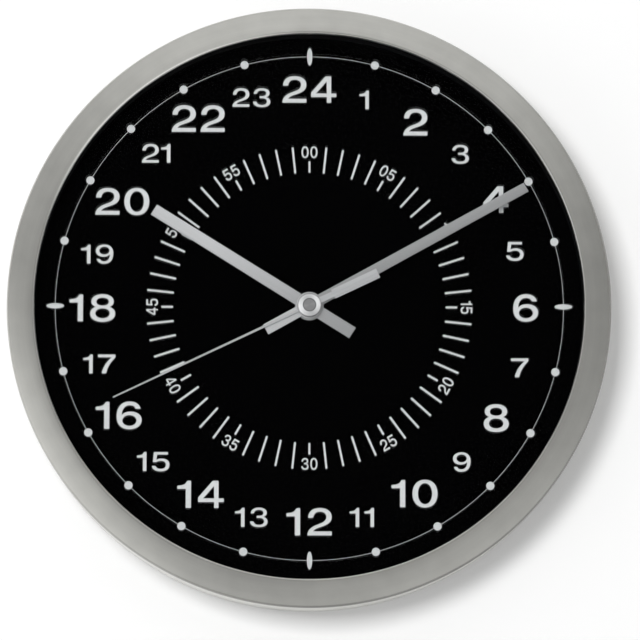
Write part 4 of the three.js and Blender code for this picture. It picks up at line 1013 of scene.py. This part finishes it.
# The keyhole plate: the entry for the wall screw's head, and above it the slot for its neck
PLATE_BOX = (-24, 24, 92, 122)
PLATE_CORNER = 4
PLATE_REAR = 1.9
PLATE_FRONT = 2.9
PLATE_EDGE = 0.12
ENTRY_HEIGHT = 101
ENTRY_RADIUS = 5
SLOT_RADIUS = 2.5


def hanger():
    keyhole = arc(ENTRY_RADIUS, (0, ENTRY_HEIGHT), 120, 300, 48)
    keyhole += arc(SLOT_RADIUS, (0, HANG_HEIGHT), 0, 180, 24)
    holes = [circle(HANGER_SCREW_HOLE, place, 24) for place in HANGER_SCREWS]
    outlines = [rectangle(*PLATE_BOX, PLATE_CORNER), keyhole] + holes
    mesh = slab(outlines, PLATE_REAR, PLATE_FRONT, PLATE_EDGE)
    finish_piece("keyhole_plate", mesh, "steel", "case", ["hanger_plate"], sharp=25)


back_cover()
screws()
hanger()

# Setting knob and cell
MOTION_SPACING = 11.5
MOTION_BEARING = math.radians(160)
KNOB_STEPS = 160
FLUTES = 16
FLUTE_MIDDLE = 5.55
FLUTE_HEIGHT = 0.25
# The knob from its rear forward: (radius, depth) of its dimple, (share of the fluted outline, depth)
# of its grip and (radius, depth) of its hollow shaft
KNOB_DIMPLE = ((3.7, 3.4), (4.2, 3.0))
KNOB_GRIP = ((0.95, 3.0), (1, 3.25), (1, 5.2), (0.97, 5.4))
KNOB_SHAFT = ((2.4, 5.4), (2.4, 7.7), (0.7, 7.7), (0.7, 4.2))


def fluted(scale):
    turns = [2 * math.pi * i / KNOB_STEPS for i in range(KNOB_STEPS)]
    radii = [(FLUTE_MIDDLE + FLUTE_HEIGHT * math.cos(FLUTES * t)) * scale for t in turns]
    return [(r * math.cos(t), r * math.sin(t)) for r, t in zip(radii, turns)]


def knob():
    levels = [(circle(radius, segments=KNOB_STEPS), depth) for radius, depth in KNOB_DIMPLE]
    levels += [(fluted(share), depth) for share, depth in KNOB_GRIP]
    levels += [(circle(radius, segments=KNOB_STEPS), depth) for radius, depth in KNOB_SHAFT]
    at = clock_place(MOTION_SPACING * math.cos(MOTION_BEARING), MOTION_SPACING * math.sin(MOTION_BEARING))
    finish_piece("knob", loft(levels), "grey_plastic", "motion", ["setting_knob"], at, 40)


# The cell: its middle on the clock, then (radius, distance along it) of its steel ends
CELL_PLACE = (0, -19.45, 15.05)
CELL_RADIUS = 7.25
CELL_END = 25.25
NEGATIVE_END = [(0, -CELL_END), (5.2, -CELL_END), (5.4, -25.05), (6.1, -25.05), (6.5, -25.2)]
POSITIVE_END = [(5.8, 24.05), (5.5, 23.8), (3.3, 23.8), (2.9, 24.1), (2.7, 24.4), (2.7, 25.1),
                (2.55, CELL_END), (0, CELL_END)]


def cell():
    """Along local Z, its positive end forward. Both metal ends stand in the ends of the wrap."""
    profile = NEGATIVE_END + curve_points(NEGATIVE_END[-1], (CELL_RADIUS, -25.2), (CELL_RADIUS, -24.45), 5)
    profile += [(CELL_RADIUS, 23.3)] + curve_points((CELL_RADIUS, 23.3), (CELL_RADIUS, 24.0), (6.5, 24.05), 5)
    profile += POSITIVE_END
    at = CLOCK @ Matrix.Translation([v * MM for v in CELL_PLACE]) @ Matrix.Rotation(math.pi / 2, 4, "Y")
    finish_piece("aa_cell", lathe(profile, 96), "cell_wrap", "cell", ["battery_cell"], at, 35)


knob()
cell()

# CAD pieces that stay
SLOTS = {
    "black_plastic": ["movement_base", "movement_cover"],
    "steel": ["clutch_spring", "second_wheel", "rotor", "stator", "crystal_can",
              "negative_contact", "positive_contact"],
    "brass": ["centre_bushing", "washer", "hex_nut"],
    "rubber": ["rubber_gasket"],
    "ivory_plastic": ["hour_wheel", "cannon_pinion", "centre_wheel", "third_wheel",
                      "intermediate_wheel", "motion_wheel"],
    "copper": ["coil"],
    "board": ["circuit_board"],
}
for slot, names in SLOTS.items():
    for name in names:
        node = frame["nodes"][name]
        node.data.materials.clear()
        node.data.materials.append(MATERIALS[slot])

for name in ("movement_base", "movement_cover", "hex_nut", "washer"):
    edge = frame["nodes"][name].modifiers.new("edge", "BEVEL")
    edge.limit_method = "ANGLE"
    edge.angle_limit = math.radians(50)
    edge.width = 0.15 * MM
    edge.segments = 2


# Wall, light and camera
def backdrop_material(tone, glow):
    """Pale and matt. Camera, glossy and transmitted rays see it from its front; the rest pass."""
    mat = bpy.data.materials.new("backdrop")
    mat.use_nodes = True
    n = Nodes(mat.node_tree)
    path = n.add("LightPath").node
    seen = n.math("MAXIMUM", path.outputs["Is Camera Ray"], path.outputs["Is Glossy Ray"])
    seen = n.math("MAXIMUM", seen, path.outputs["Is Transmission Ray"])
    front = n.math("SUBTRACT", 1.0, n.add("NewGeometry", out=6))
    speckle = n.noise(n.scaled(n.place(), (30, 30, 30)), 1.0, 2.0)
    dark, light = shades(tone, 0.004)
    matt = n.add("BsdfDiffuse", {"Color": n.mix(speckle, dark, light)})
    bright = n.add("Emission", {"Color": (1, 1, 1, 1), "Strength": glow})
    both = n.add("AddShader", {0: matt, 1: bright})
    clear = n.add("BsdfTransparent")
    surface = n.add("MixShader", {0: n.math("MULTIPLY", seen, front), 1: clear, 2: both})
    n.add("OutputMaterial", {"Surface": surface})
    return mat


# The wall: its hole and its reach, both as radii, its depth, tone and glow
WALL_HOLE = 146
WALL_REACH = 4000
WALL_DEPTH = -0.6
WALL_TONE = (0.9, 0.9, 0.9)
WALL_GLOW = 0.08


def wall():
    """A flat wall behind the clock, open where the clock hides it, so that light reaches the back."""
    bm = bmesh.new()
    inner, outer = [[bm.verts.new((x * MM, y * MM, WALL_DEPTH * MM)) for x, y in circle(radius)]
                    for radius in (WALL_HOLE, WALL_REACH)]
    for i in range(len(inner)):
        j = (i + 1) % len(inner)
        bm.faces.new((inner[i], outer[i], outer[j], inner[j]))
    mesh = bpy.data.meshes.new("wall")
    bm.to_mesh(mesh)
    bm.free()
    mesh.materials.append(backdrop_material(WALL_TONE, WALL_GLOW))
    obj = bpy.data.objects.new("wall", mesh)
    obj.matrix_world = CLOCK
    obj.visible_shadow = False
    bpy.context.scene.collection.objects.link(obj)


wall()


CLOCK_MIDDLE = Vector((0, -0.02, -HANG_HEIGHT * MM))


def lamp(name, direction, distance, size, power):
    """A square soft box that looks at the middle of the clock. The sky alone makes the highlights."""
    light = bpy.data.lights.new(name, "AREA")
    light.shape = "SQUARE"
    light.size = size
    light.energy = power
    obj = bpy.data.objects.new(name, light)
    towards = Vector(direction).normalized()
    obj.location = CLOCK_MIDDLE + towards * distance
    obj.rotation_mode = "QUATERNION"
    obj.rotation_quaternion = (-towards).to_track_quat("-Z", "Y")
    obj.visible_glossy = False
    obj.visible_transmission = False
    bpy.context.scene.collection.objects.link(obj)


lamp("key", (-0.25, -0.95, 0.11), distance=2.2, size=0.62, power=29)
lamp("back_key", (-0.5, 0.8, 0.45), distance=2.2, size=1.2, power=22)

# Soft bright patches of the sky: clockwise from the top, tilt from straight ahead of the clock,
# cosine at which the patch ends, strength
SKY_BASE = 0.245
SKY_PATCHES = [
    (320, 62, 0.74, 0.26), (243, 61, 0.76, 0.73), (12, 53, 0.68, 0.47),
    (147, 60, 0.28, 0.16), (134, 51, 0.90, 0.21), (176, 51, 0.90, 0.16),
    (330, 150, 0.60, 0.75), (160, 155, 0.60, 0.30),
]


def sky():
    world = bpy.data.worlds.new("studio")
    bpy.context.scene.world = world
    world.use_nodes = True
    n = Nodes(world.node_tree)
    direction = n.add("TexCoord", out=0)
    strength = SKY_BASE
    for turn, tilt, end, bright in SKY_PATCHES:
        x, z = clockwise(math.sin(math.radians(tilt)), turn)
        centre = (x, -math.cos(math.radians(tilt)), z)
        sockets = {0: n.dot(direction, centre), 1: end, 2: 1.0, 3: 0.0, 4: bright}
        patch = n.add("MapRange", sockets, interpolation_type="SMOOTHSTEP")
        strength = n.math("ADD", patch, strength)
    studio = n.add("Background", {"Color": (1, 1, 1, 1), "Strength": strength})
    white = n.add("Background", {"Color": (1, 1, 1, 1), "Strength": 1.0})
    path = n.add("LightPath").node
    seen = n.math("MAXIMUM", path.outputs["Is Camera Ray"], path.outputs["Is Transmission Ray"])
    n.add("OutputWorld", {"Surface": n.add("MixShader", {0: seen, 1: studio, 2: white})})


sky()

# The camera looks at a place of the dial, from its left by the azimuth and below by the elevation
AIM = (5.37, -6.3, DIAL_FRONT)
AZIMUTH = math.radians(-1.0)
ELEVATION = math.radians(-7.5)
CAMERA_DISTANCE = 1.772

camera = bpy.data.cameras.new("camera")
camera.lens = 200
camera.sensor_width = 36
camera.clip_start = 0.05
camera.clip_end = 20
view = bpy.data.objects.new("camera", camera)
level = math.cos(ELEVATION)
back = Vector((math.sin(AZIMUTH) * level, -math.cos(AZIMUTH) * level, math.sin(ELEVATION)))
view.location = CLOCK @ Vector([v * MM for v in AIM]) + back * CAMERA_DISTANCE
view.rotation_mode = "QUATERNION"
view.rotation_quaternion = (-back).to_track_quat("-Z", "Y")
bpy.context.scene.collection.objects.link(view)
bpy.context.scene.camera = view
bpy.context.scene.view_settings.view_transform = "Standard"
